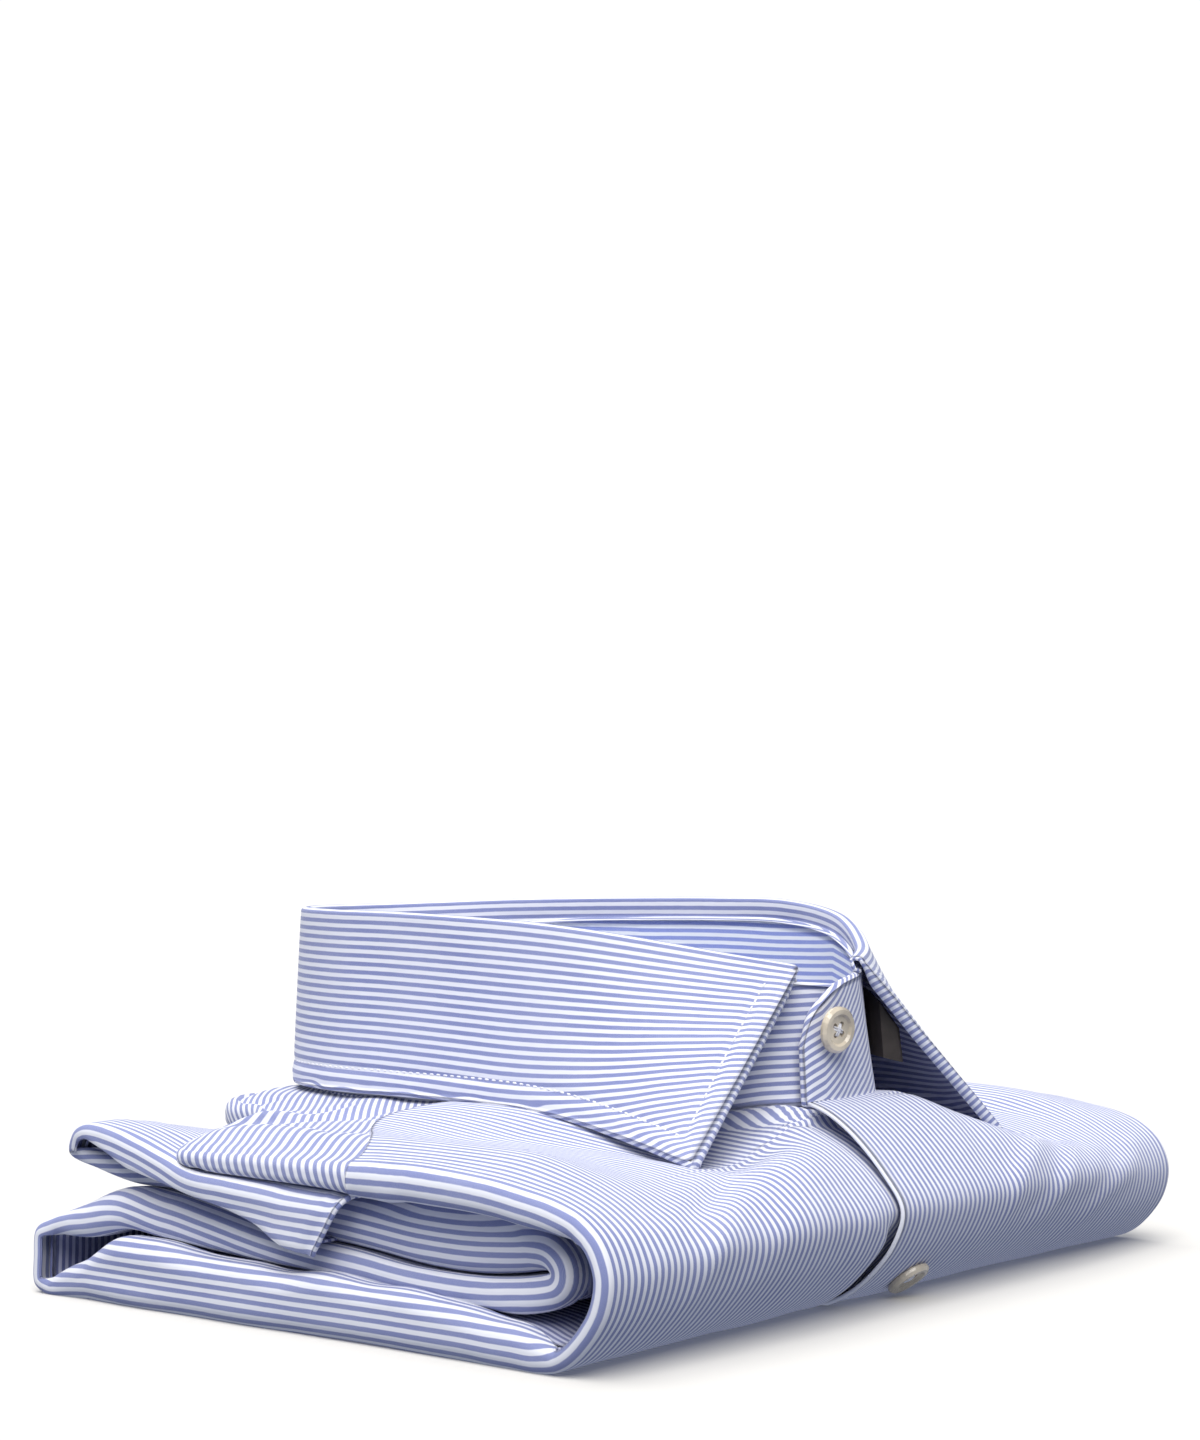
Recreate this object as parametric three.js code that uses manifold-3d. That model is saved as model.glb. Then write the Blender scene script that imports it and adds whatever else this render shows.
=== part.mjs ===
// A men's striped dress shirt, buttoned, folded into a packet and lying face up.
// Millimetres, +Z up.  +X is the wearer's left, +Y runs from the front fold to the
// back of the collar.  The origin is the middle of the packet's underside.
//
// The body was first folded to a strip, sides and sleeves behind, and the strip was
// then folded over itself.  From the yoke it runs forward over the top (chest), round
// the nose, back along the floor (belly), up at the back, forward again (second
// layer), turns back inside the nose (third layer) and comes forward once more
// as the tail, whose hem hangs over the side of the third layer.
// The two fronts follow that whole way as thin walls and wrap the strip's sides.
// The back and the sleeves, which no side shows, are one solid between them.

import * as THREE from 'three';
import Module from 'manifold-3d';
import { mergeVertices } from 'three/addons/utils/BufferGeometryUtils.js';

// ---- driving sizes -------------------------------------------------------------
const HALF_WIDTH = 125;        // half the width of the folded packet
const CORNER_Y = -86;          // y of the floor corner that the depths d start from
const CLOTH = 1.2;             // wall of one ply with its turnings
const BAND = 1.9;              // wall of the collar stand, two plies and lining
const GAP = 0.3;               // clearance at seams and between pieces
const PLACKET_EDGE = 19;       // the left front's edge, this far past the middle
const UNDERLAP = 14;           // the right front's edge, this far past the middle
const LAP_RECESS = CLOTH + GAP;            // how far the right front sinks there
const LAP_FADE = [19.5, 27];   // the recess ends between these distances
const CORE_INSET = LAP_RECESS + CLOTH + GAP; // the hidden layers start below both
const LAYER_EDGE = 80;         // hidden inner layers have their own wall past this
const DEPTH_ZONE = [62, 128];  // the middle's depths fade to the side's over these distances
const BUTTON_DIAMETER = 11.4;  // an 18-ligne shirt button
const BUTTON_THICKNESS = 2.4;
const SUPPORT_WALL = 0.9;      // card strip under the collar leaf

const cloth = new THREE.MeshStandardMaterial({ color: 0xb9c4ea, roughness: 0.85, metalness: 0 });
const clothShade = new THREE.MeshStandardMaterial({ color: 0x9fabdc, roughness: 0.85, metalness: 0 });
const horn = new THREE.MeshStandardMaterial({ color: 0xd8ccb4, roughness: 0.35, metalness: 0 });
const card = new THREE.MeshStandardMaterial({ color: 0x6f6964, roughness: 0.7, metalness: 0 });

const lerp = THREE.MathUtils.lerp;
const smooth = THREE.MathUtils.smoothstep; // smooth(x, from, to)
const point = (x, d, z) => new THREE.Vector3(x, d + CORNER_Y, z);

// ---- tables ----------------------------------------------------------------------
// The strip's way, as the fronts' outer face follows it.
//   dSide, zSide  depth and height near the packet's side
//   dMid, zMid    the same near its middle
//   from, to      over these distances the middle's height fades to the side's
//   deep          how far the cloth wraps down the strip's side
//   lip           how far it then turns in below
//   inset         how far its side lies inside the packet's
//   steps         sections up to the next row
const STRIP_COLUMNS = ['dSide', 'zSide', 'dMid', 'zMid', 'from', 'to', 'deep', 'lip', 'inset', 'steps'];
const STRIP = table(STRIP_COLUMNS, [
  // chest, from the yoke seam forward
  [58.0, 38.2, 102.0, 43.6, 40, 112, 5.8, 7, 0, 2],
  [40.0, 38.4, 62.0, 44.8, 28, 70, 6.0, 7, 0, 2],
  [20.0, 37.4, 30.0, 46.0, 22, 60, 5.8, 7, 0, 3],
  [9.0, 36.0, 17.0, 46.8, 21, 57, 5.6, 6, 0, 3],
  [0.0, 34.4, 7.0, 46.4, 21, 56, 5.0, 4, 0, 1],
  // nose, the front fold
  [-7.0, 31.8, -2.1, 41.8, 24, 72, 3.6, 1, 0, 1],
  [-12.0, 27.4, -12.6, 31.8, 40, 100, 2.0, 0, 0, 1],
  [-14.4, 21.0, -17.6, 24.0, 55, 118, 2.0, 0, 0, 1],
  [-13.2, 14.0, -15.4, 16.8, 55, 118, 2.0, 0, 0, 1],
  [-9.0, 7.6, -10.2, 10.0, 55, 118, 2.0, 0, 0, 1],
  [-3.2, 2.6, -3.4, 4.2, 55, 118, 2.6, 0, 0, 1],
  // belly, flat on the floor
  [4.0, 0.3, 4.6, 0.5, 55, 118, 6.0, 2, 0, 1],
  [12.0, 0.0, 12.0, 0.0, 55, 118, 8.4, 5, 0, 1],
  [33.0, 0.0, 33.0, 0.0, 55, 118, 10.6, 8, 0, 1],
  [57.0, 0.0, 57.0, 0.0, 55, 118, 12.6, 8, 0, 2],
  [105.0, 0.0, 105.0, 0.0, 55, 118, 13.0, 8, 0, 1],
  [134.0, 0.0, 134.0, 0.0, 55, 118, 14.0, 8, 0, 1],
  [150.0, 0.0, 150.0, 0.0, 55, 118, 8.5, 3, 0, 1],
  [158.5, 0.3, 159.5, 0.3, 55, 118, 3.4, 0, 0, 1],
  // back fold
  [163.6, 3.4, 165.4, 3.4, 55, 118, 2.0, 0, 0, 1],
  [164.8, 8.5, 167.0, 8.5, 55, 118, 2.0, 0, 0, 1],
  [163.4, 14.2, 165.4, 14.2, 55, 118, 2.0, 0, 0, 1],
  // second layer, coming forward
  [158.0, 17.8, 159.0, 17.8, 55, 118, 3.0, 0, 0.2, 1],
  [148.0, 21.6, 148.0, 21.6, 55, 118, 6.2, 3, 0.6, 1],
  [134.5, 26.2, 134.5, 26.2, 70, 118, 8.4, 7, 1.0, 1],
  [120.0, 26.0, 120.0, 26.0, 70, 118, 9.4, 7, 1.5, 1],
  [105.0, 24.0, 105.0, 24.0, 70, 118, 9.2, 7, 2.0, 1],
  [88.0, 20.8, 88.0, 20.8, 70, 118, 7.0, 7, 2.0, 1],
  [72.0, 18.7, 72.0, 18.7, 70, 118, 5.2, 7, 2.0, 1],
  [56.0, 17.4, 56.0, 17.4, 70, 118, 4.2, 5, 2.0, 1],
  [40.0, 16.0, 40.0, 16.0, 70, 118, 4.2, 5, 2.0, 1],
  [24.0, 15.8, 24.0, 15.8, 70, 118, 4.6, 6, 2.0, 1],
  [12.0, 17.0, 12.0, 17.0, 70, 118, 6.4, 10, 2.0, 1],
  // curl, where the layer turns back inside the nose
  [4.6, 18.4, 4.6, 18.4, 70, 118, 6.2, 16, 2.4, 1],
  [2.9, 19.2, 2.9, 19.2, 70, 118, 5.4, 18, 2.8, 1],
  [4.6, 20.1, 4.6, 20.1, 70, 118, 6.6, 16, 3.2, 1],
  // third layer, going back
  [12.0, 19.0, 12.0, 19.0, 70, 118, 11.0, 10, 3.6, 1],
  [24.0, 17.6, 24.0, 17.6, 70, 118, 13.4, 7, 4.0, 1],
  [40.0, 17.7, 40.0, 17.7, 70, 118, 13.3, 7, 4.0, 1],
  [56.0, 19.2, 56.0, 19.2, 70, 118, 10.4, 7, 4.0, 1],
  [72.0, 20.5, 72.0, 20.5, 70, 118, 9.0, 7, 4.0, 1],
  [88.0, 22.6, 88.0, 22.6, 70, 118, 7.4, 7, 4.0, 1],
  [105.0, 25.8, 105.0, 25.8, 70, 118, 4.4, 7, 4.0, 1],
  [120.0, 27.8, 120.0, 27.8, 70, 118, 4.8, 6, 3.7, 1],
  [134.5, 28.2, 134.5, 28.2, 70, 118, 5.4, 5, 3.0, 1],
  [146.0, 31.2, 146.0, 31.2, 70, 118, 3.6, 2, 2.0, 1],
  // upper back fold
  [152.0, 34.8, 152.0, 32.6, 70, 118, 2.0, 0, 1.0, 1],
  [152.0, 38.6, 152.0, 34.4, 70, 118, 2.0, 0, 0.4, 1],
  // tail, coming forward to its hem
  [147.4, 41.0, 147.4, 35.8, 70, 118, 2.0, 0, 0, 1],
  [138.0, 41.0, 138.0, 35.2, 70, 118, 4.2, 0, 0, 1],
  [129.0, 39.2, 129.0, 34.4, 70, 118, 6.0, 0, 0, 1],
  [119.0, 36.0, 119.0, 33.8, 70, 118, 5.0, 0, 0, 1],
  [110.0, 32.8, 110.0, 33.0, 70, 118, 3.6, 0, 0, 1],
  [98.0, 32.1, 98.0, 32.3, 70, 118, 5.0, 0, 0, 1],
  [84.0, 31.7, 84.0, 31.9, 70, 118, 7.8, 0, 0, 1],
  [71.0, 31.3, 71.0, 31.5, 70, 118, 11.6, 0, 0, 1],
  [60.0, 31.0, 60.0, 31.2, 70, 118, 12.6, 0, 0, 1],
]);
const SEAM_ROW = 0;
const NECK_FRONT_ROW = 4;      // the neck opening ends before this row
const NOSE_TOP_ROW = 6;        // the packet's top ends at this row
const LAYER_ROW = 22;          // from this row on only the sides have a wall
const HEM_RAKE = 8;            // the hem leans back this far over its wrapped side

// The collar's rows go from the middle of the front to the middle of the back.
// NECKLINE is where the stand is sewn on, alike on both sides.
const NECKLINE = table(['x', 'd'], [
  [0.0, 8.6], [9.5, 9.6], [18.0, 12.6], [26.5, 22.0], [33.0, 37.0], [36.6, 58.0], [38.2, 80.0],
  [38.8, 103.0], [38.2, 126.0], [35.0, 150.0], [26.6, 168.4], [14.0, 178.0], [0.0, 180.6],
]);
// top is the stand's upper edge, fold the leaf's roll line, edge its free edge.
const COLLAR_COLUMNS = [
  'topX', 'topD', 'topZ', 'foldX', 'foldD', 'foldZ', 'edgeX', 'edgeD', 'edgeZ',
];
const COLLAR_RIGHT = table(COLLAR_COLUMNS, [
  [0.0, 10.6, 74.2, 0.0, 9.0, 77.0, 60.0, 0.0, 37.0],
  [7.5, 11.8, 74.8, 7.0, 11.0, 77.5, 61.0, 5.0, 37.0],
  [13.4, 15.6, 75.4, 14.6, 14.2, 79.2, 62.2, 11.0, 37.2],
  [21.6, 25.0, 76.8, 24.6, 27.0, 81.8, 58.4, 26.0, 39.4],
  [29.4, 39.0, 78.4, 32.2, 43.0, 84.6, 53.0, 42.5, 41.4],
  [34.0, 58.0, 80.0, 37.2, 61.0, 87.2, 48.0, 61.0, 43.4],
  [36.0, 80.0, 81.0, 39.4, 80.0, 89.0, 44.8, 80.0, 44.6],
  [37.0, 103.0, 81.8, 40.2, 103.0, 90.2, 42.8, 103.0, 45.0],
  [36.6, 126.0, 82.0, 39.6, 126.0, 91.0, 41.6, 126.0, 45.0],
  [33.6, 149.6, 82.0, 36.8, 150.6, 91.3, 38.6, 151.2, 44.9],
  [25.4, 167.4, 82.2, 28.2, 171.0, 91.6, 29.4, 172.6, 44.9],
  [13.4, 176.8, 82.4, 15.0, 181.6, 91.8, 15.6, 183.8, 45.2],
  [0.0, 179.4, 82.4, 0.0, 184.6, 91.9, 0.0, 187.2, 45.4],
]);
const COLLAR_LEFT = table(COLLAR_COLUMNS, [
  [0.0, 10.2, 75.4, 0.0, 8.5, 79.0, 46.0, -9.0, 35.0],
  [5.4, 10.8, 76.4, 4.0, 9.4, 79.6, 50.0, -6.0, 35.0],
  [10.0, 12.4, 76.9, 9.4, 10.6, 80.6, 54.2, -3.4, 35.9],
  [21.2, 19.5, 80.2, 22.4, 17.2, 83.6, 57.0, 13.0, 38.6],
  [29.0, 32.0, 86.0, 31.6, 29.4, 90.2, 54.6, 31.0, 40.6],
  [34.0, 51.0, 89.0, 36.8, 50.0, 94.0, 49.6, 53.0, 43.0],
  [36.0, 76.0, 89.4, 39.4, 76.0, 94.6, 45.4, 77.0, 44.6],
  [37.0, 102.0, 89.0, 40.4, 102.0, 94.4, 43.0, 102.6, 45.0],
  [36.6, 126.0, 88.2, 39.8, 126.0, 94.0, 41.6, 126.0, 45.0],
  [33.6, 149.6, 86.4, 36.8, 150.6, 93.4, 38.6, 151.2, 44.9],
  [25.4, 167.4, 84.6, 28.2, 171.0, 92.6, 29.4, 172.6, 44.9],
  [13.4, 176.8, 83.2, 15.0, 181.6, 92.1, 15.6, 183.8, 45.2],
  [0.0, 179.4, 82.4, 0.0, 184.6, 91.9, 0.0, 187.2, 45.4],
]);
const LEAF_FRONT_ROW = 2;      // the leaf's front edges lie on this row
const LAST_RING_ROW = NECKLINE.length - 1;
const BACK_NECK_Z = 43.8;      // height of the neckline behind the shoulder seams

// The outer end of the stand, wearer's left over right, from its tip.
const BAND_END = table(['x', 'd', 'topX', 'topD', 'topZ'], [
  [-18.6, 11.0, -18.0, 12.0, 61.5],
  [-15.5, 9.4, -14.9, 10.8, 66.8],
  [-8.0, 8.1, -7.6, 9.8, 72.4],
]);
const INNER_END_ROW = 0.95;    // the inner end of the stand stops here, past the middle
const UNDER_BAND = 2.5;        // the inner end lies this far behind the outer one

// The yoke's outline, one side, from the front seam to the middle of the back.
//   neckRow  where its neck edge meets the collar table
//   x, d, z  its outer edge, deep and lip as for the strip
//   follow   how closely the section follows the front seam
const YOKE = table(['neckRow', 'x', 'd', 'z', 'deep', 'lip', 'follow'], [
  [6.96, 125.0, 58.0, 38.2, 5.8, 7, 1.0],
  [7.15, 125.0, 74.0, 38.4, 5.4, 7, 0.7],
  [7.35, 125.0, 90.0, 38.5, 5.2, 7, 0.35],
  [7.55, 125.0, 104.0, 38.2, 4.6, 4, 0.1],
  [7.75, 124.0, 114.6, 38.1, 2.2, 0, 0.0],
  [7.95, 115.0, 121.0, 39.4, 2.0, 0, 0.0],
  [8.2, 98.0, 127.0, 40.6, 2.2, 0, 0.0],
  [8.5, 81.0, 135.0, 39.8, 2.4, 0, 0.0],
  [8.85, 66.0, 149.0, 39.5, 3.0, 1, 0.0],
  [9.25, 57.0, 160.0, 40.2, 6.0, 3, 0.0],
  [9.8, 52.0, 174.0, 40.6, 8.0, 4, 0.0],
  [10.5, 43.0, 184.6, 40.8, 8.2, 5, 0.0],
  [11.2, 24.0, 188.4, 41.0, 8.2, 8, 0.0],
  [12.0, 0.0, 189.6, 41.1, 8.2, 8, 0.0],
]);

// The hidden back and sleeves.  reach is how far the layers' lobes go out.
// slack is further room above the third layer's lobe.
const CORE = table(['d', 'reach', 'slack'], [
  [8, 1.0, 2.0], [13, 1.0, 1.2], [24, 1.0, 0], [40, 1.0, 0], [56, 1.0, 0], [72, 1.0, 0],
  [88, 1.0, 0], [105, 1.0, 0], [120, 1.0, 0], [133, 1.0, 0.4], [138, 0.0, 0], [146, 0.0, 0],
]);

// ---- small tools -----------------------------------------------------------------
function table(columns, rows) {
  return rows.map((row) => Object.fromEntries(columns.map((name, i) => [name, row[i]])));
}

// A value of a table at a fractional row, straight between rows.
function between(rows, column, at) {
  const i = THREE.MathUtils.clamp(Math.floor(at), 0, rows.length - 2);
  return lerp(rows[i][column], rows[i + 1][column], THREE.MathUtils.clamp(at - i, 0, 1));
}

// A smooth curve through named columns of a table; .at(row) gives its point.
function curveThrough(rows, columns) {
  const points = rows.map((row) => new THREE.Vector3(...columns.map((name) => row[name] ?? 0)));
  const curve = new THREE.CatmullRomCurve3(points, false, 'centripetal');
  return { at: (row) => curve.getPoint(THREE.MathUtils.clamp(row / (rows.length - 1), 0, 1)) };
}

// One closed wall from two grids of points, [section][along the section].
function wall(outer, inner) {
  const sections = outer.length;
  const count = outer[0].length;
  const positions = [];
  for (const grid of [outer, inner]) {
    for (const section of grid) {
      for (const p of section) positions.push(p.x, p.y, p.z);
    }
  }
  const id = (side, i, k) => (side * sections + i) * count + k;
  const index = [];
  const quad = (a, b, c, d) => index.push(a, b, c, a, c, d);
  for (let i = 0; i < sections - 1; i++) {
    for (let k = 0; k < count - 1; k++) {
      quad(id(0, i, k), id(0, i + 1, k), id(0, i + 1, k + 1), id(0, i, k + 1));
      quad(id(1, i, k), id(1, i, k + 1), id(1, i + 1, k + 1), id(1, i + 1, k));
    }
    quad(id(0, i, 0), id(1, i, 0), id(1, i + 1, 0), id(0, i + 1, 0));
    const last = count - 1;
    quad(id(0, i, last), id(0, i + 1, last), id(1, i + 1, last), id(1, i, last));
  }
  for (let k = 0; k < count - 1; k++) {
    quad(id(0, 0, k), id(0, 0, k + 1), id(1, 0, k + 1), id(1, 0, k));
    const last = sections - 1;
    quad(id(0, last, k), id(1, last, k), id(1, last, k + 1), id(0, last, k + 1));
  }
  const geometry = new THREE.BufferGeometry();
  geometry.setAttribute('position', new THREE.Float32BufferAttribute(positions, 3));
  geometry.setIndex(facingOut(positions, index));
  geometry.computeVertexNormals();
  return geometry;
}

// Turns the faces round where the mesh is inside out.
function facingOut(positions, index) {
  const corner = (i) => new THREE.Vector3().fromArray(positions, 3 * i);
  let volume = 0;
  for (let i = 0; i < index.length; i += 3) {
    const [a, b, c] = [corner(index[i]), corner(index[i + 1]), corner(index[i + 2])];
    volume += a.dot(b.cross(c));
  }
  if (volume > 0) return index;
  const turned = [];
  for (let i = 0; i < index.length; i += 3) turned.push(index[i], index[i + 2], index[i + 1]);
  return turned;
}

// The section of a wrapped strip, from its inner edge out, round the side and in
// below.  Each entry is [x, depth] for the cloth's outer and inner face.
const LAP_COLUMNS = [0, 0.245, 0.3, 0.45, 0.6, 0.75, 0.9, 1]; // two at the lap's recess
const NECK_COLUMNS = [0, 0.06, 0.13, 0.21, 0.32, 0.5, 0.75, 1]; // close beside the neck
const ROUND_STEPS = 3;
const LIP_STEPS = 2;
const BARE_DEPTH = 2.4;        // least wrap, of a bare edge
const FULL_DEPTH = 4.0;        // wrap whose lip is turned in all the way
const BARE_SWEEP = 0.3;        // how far a bare edge turns in, radians
const BARE_REACH = 0.3;        // and how far it goes on from there
function wrapSection(inner, out, wrapDepth, lip, atNeck = 1) {
  const deep = Math.max(wrapDepth, BARE_DEPTH);
  const turn = smooth(deep, BARE_DEPTH, FULL_DEPTH);     // 0 bare edge, 1 full lip
  const top = Math.min(4.2, Math.max(1.6, 0.42 * deep)); // rounding above
  const low = Math.min(3.4, Math.max(1.6, 0.36 * deep)); // rounding below
  const sweep = lerp(BARE_SWEEP, Math.PI / 2, turn);
  const outerFace = [];
  const innerFace = [];
  const add = (x, n, nx, nn) => {
    outerFace.push([x, n]);
    innerFace.push([x - CLOTH * nx, n - CLOTH * nn]);
  };
  for (let i = 0; i < LAP_COLUMNS.length - 1; i++) {
    add(lerp(inner, out - top, lerp(LAP_COLUMNS[i], NECK_COLUMNS[i], atNeck)), 0, 0, -1);
  }
  for (let i = 0; i <= ROUND_STEPS; i++) {
    const a = (i / ROUND_STEPS) * (Math.PI / 2);
    add(out - top + top * Math.sin(a), top - top * Math.cos(a), Math.sin(a), -Math.cos(a));
  }
  const centreDepth = deep - low * Math.sin(sweep);
  for (let i = 0; i <= LIP_STEPS; i++) {
    const a = (i / LIP_STEPS) * sweep;
    add(out - low + low * Math.cos(a), centreDepth + low * Math.sin(a), Math.cos(a), Math.sin(a));
  }
  const reach = BARE_REACH + lip * turn;
  const [x, n] = outerFace[outerFace.length - 1];
  add(x - reach * Math.sin(sweep), n + reach * Math.cos(sweep), Math.cos(sweep), Math.sin(sweep));
  return { outerFace, innerFace };
}

// ---- the strip's surface ---------------------------------------------------------
const sideWay = curveThrough(STRIP, ['dSide', 'zSide']);
const midWay = curveThrough(STRIP, ['dMid', 'zMid']);

// Depth (x) and height (y) of the fronts' outer face at a row and a distance x.
function wayPoint(row, x) {
  const side = sideWay.at(row);
  const mid = midWay.at(row);
  const from = between(STRIP, 'from', row);
  const to = between(STRIP, 'to', row);
  side.x = lerp(mid.x, side.x, smooth(Math.abs(x), ...DEPTH_ZONE));
  side.y = lerp(mid.y, side.y, smooth(Math.abs(x), from, to));
  return side;
}

// A point n below the fronts' outer face, at a row of the strip and a distance x.
function stripPoint(row, x, n, side) {
  const here = wayPoint(row, x);
  const ahead = wayPoint(row + 0.04, x).sub(wayPoint(row - 0.04, x)).normalize();
  return point(side * x, here.x - ahead.y * n, here.y + ahead.x * n);
}

// Height of the packet's top at a place in front of the shoulder seam.
function chestHeight(x, d) {
  let row = NOSE_TOP_ROW;
  while (row > 0 && wayPoint(row, x).x < d) row -= 0.05;
  return wayPoint(Math.max(row, 0), x).y;
}

const neckline = curveThrough(NECKLINE, ['x', 'd']);
const standTops = [COLLAR_RIGHT, COLLAR_LEFT].map((t) => curveThrough(t, ['topX', 'topD', 'topZ']));
const leafFolds = [COLLAR_RIGHT, COLLAR_LEFT].map((t) => curveThrough(t, ['foldX', 'foldD', 'foldZ']));
const leafEdges = [COLLAR_RIGHT, COLLAR_LEFT].map((t) => curveThrough(t, ['edgeX', 'edgeD', 'edgeZ']));
const ofSide = (pair, side) => pair[side < 0 ? 0 : 1];

// Height of the cloth under the stand at a point of the neckline.
function necklineHeight(x, d) {
  const seam = wayPoint(SEAM_ROW, x).x;
  return lerp(chestHeight(x, Math.min(d, seam)), BACK_NECK_Z, smooth(d, seam - 6, seam + 6));
}

// The neck opening's half width at a depth, a stand's wall inside the neckline.
// The under lap reaches further, below the stand's inner end.
function neckHalfWidth(d, isUnder) {
  let row = 0;
  while (row < 7 && neckline.at(row).y < d) row += 0.05;
  return neckline.at(row).x - BAND - (isUnder ? underBand(row) : 0);
}

// How far the stand's inner end lies behind the outer one.
function underBand(row) {
  return UNDER_BAND * (1 - smooth(row, 1.5, 4.5));
}

// ---- fronts ----------------------------------------------------------------------
// lap is how far the panel reaches past the middle, recess how far it sinks there.
function innerEdge(row, lap) {
  const d = wayPoint(row, 0).x;
  if (row < NECK_FRONT_ROW) return Math.max(-lap, neckHalfWidth(d, lap === UNDERLAP));
  return row < LAYER_ROW ? -lap : lerp(-lap, LAYER_EDGE, Math.min(row - LAYER_ROW, 1));
}

function frontPanel(side, lap, recess) {
  const outer = [];
  const inner = [];
  STRIP.forEach((here, i) => {
    const steps = i === STRIP.length - 1 ? 1 : here.steps;
    for (let s = 0; s < steps; s++) {
      const row = i + s / steps;
      const value = (column) => (s ? between(STRIP, column, row) : here[column]);
      const section = wrapSection(
        innerEdge(row, lap), HALF_WIDTH - value('inset'), value('deep'), value('lip'),
        1 - smooth(row, 2.4, 4),
      );
      const rake = HEM_RAKE * smooth(row, STRIP.length - 4, STRIP.length - 1);
      const place = ([x, n]) => {
        const sunk = recess * (1 - smooth(x, ...LAP_FADE));
        const p = stripPoint(row, x, n + sunk, side);
        p.y += rake * (n / value('deep'));
        return p;
      };
      outer.push(section.outerFace.map(place));
      inner.push(section.innerFace.map(place));
    }
  });
  return wall(outer, inner);
}

// ---- yoke ------------------------------------------------------------------------
const yokeOutline = curveThrough(YOKE, ['x', 'd', 'z']);
const YOKE_STEPS = 2;          // sections between two rows of the table
const WRAP_ROOM = 20;          // more than any wrap of the yoke needs
const WRAP_START = NECK_COLUMNS.length - 1;
const NECK_RISE = 0.55;        // the cloth climbs to the collar over this share

// The straight flat part of a section, from the neck out to where the wrap starts.
function yokeSpan(row) {
  const rim = yokeOutline.at(row);
  const neck = neckline.at(between(YOKE, 'neckRow', row));
  const next = yokeOutline.at(Math.min(row + 0.05, YOKE.length - 1));
  const last = yokeOutline.at(Math.max(row - 0.05, 0));
  const along = next.clone().sub(last).setZ(0).normalize();
  const away = new THREE.Vector3(along.y, -along.x, 0);
  if (away.x < 0 && row < 9) away.negate();
  const start = inwards(neck, BAND).setZ(BACK_NECK_Z);
  const section = wrapSection(0, WRAP_ROOM, between(YOKE, 'deep', row), between(YOKE, 'lip', row));
  const rounding = WRAP_ROOM - section.outerFace[WRAP_START][0];
  return { start, end: rim.clone().addScaledVector(away, -rounding), rim, away, section };
}

function yokeSection(row, side) {
  const { start, end, rim, away, section } = yokeSpan(row);
  const first = yokeSpan(0);
  const follow = between(YOKE, 'follow', row);
  // Moves a point n below the surface as the front seam lies off its straight line.
  const place = (p, n, isWrapped) => {
    const seam = stripPoint(SEAM_ROW, p.x, n, 1);
    const share = isWrapped ? 1 : (p.x - first.start.x) / (first.end.x - first.start.x);
    const bulge = seam.y - CORNER_Y + GAP - lerp(first.start.y, first.end.y, share);
    return point(side * p.x, p.y + follow * bulge, lerp(p.z - n, seam.z, follow));
  };
  const flat = (n) => NECK_COLUMNS.slice(0, -1).map((share) => {
    const p = start.clone().lerp(end, share);
    p.z = lerp(start.z, rim.z, Math.pow(share, NECK_RISE));
    return place(p, n, false);
  });
  const wrapped = (face) => face.slice(WRAP_START).map(([x, n]) => (
    place(rim.clone().addScaledVector(away, x - WRAP_ROOM), n, true)
  ));
  return {
    outer: [...flat(0), ...wrapped(section.outerFace)],
    inner: [...flat(CLOTH), ...wrapped(section.innerFace)],
  };
}

function yoke() {
  const halves = [];
  const lastRow = YOKE.length - 1;
  for (const side of [-1, 1]) {
    const sections = [];
    for (let i = 0; i <= lastRow * YOKE_STEPS; i++) {
      sections.push(yokeSection(i / YOKE_STEPS, side));
    }
    halves.push(sections);
  }
  const all = [...halves[0], ...halves[1].reverse().slice(1)];
  return wall(all.map((s) => s.outer), all.map((s) => s.inner));
}

// ---- collar ----------------------------------------------------------------------
// Rows of the collar all the way round: negative on the wearer's right.
const RING_STEP = 0.5;
const STAND_HEIGHTS = [0, 0.35, 0.7, 1];

function inwards(p, wallThickness) {
  const centre = new THREE.Vector3(0, THREE.MathUtils.clamp(p.y, 45, 148), p.z);
  return p.clone().add(centre.sub(p).setZ(0).normalize().multiplyScalar(wallThickness));
}

function standSection(base, top) {
  const outer = STAND_HEIGHTS.map((h) => base.clone().lerp(top, h));
  const inner = outer.map((p) => inwards(p, BAND));
  const place = (p) => point(p.x, p.y, p.z);
  return { outer: outer.map(place), inner: inner.map(place) };
}

function collarStand() {
  const sections = [];
  const footing = (x, d) => necklineHeight(Math.abs(x), d) + GAP + 0.2;
  for (const end of BAND_END) {
    const base = new THREE.Vector3(end.x, end.d, footing(end.x, end.d));
    sections.push(standSection(base, new THREE.Vector3(end.topX, end.topD, end.topZ)));
  }
  const ringSection = (row, side, under) => {
    const foot = neckline.at(row);
    const head = ofSide(standTops, side).at(row);
    const base = new THREE.Vector3(side * foot.x, foot.y, footing(foot.x, foot.y));
    const top = new THREE.Vector3(side * head.x, head.y, head.z);
    sections.push(standSection(inwards(base, under), inwards(top, under)));
  };
  for (let row = 0; row <= LAST_RING_ROW; row += RING_STEP) ringSection(row, 1, 0);
  for (let row = LAST_RING_ROW - RING_STEP; row > 0; row -= RING_STEP) {
    ringSection(row, -1, underBand(row));
  }
  ringSection(0, -1, UNDER_BAND);
  ringSection(INNER_END_ROW, 1, UNDER_BAND);
  return wall(sections.map((s) => s.outer), sections.map((s) => s.inner));
}

const LEAF_DROPS = [0.12, 0.35, 0.68, 1];
const FOLD_RADIUS = 1.9;

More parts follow.
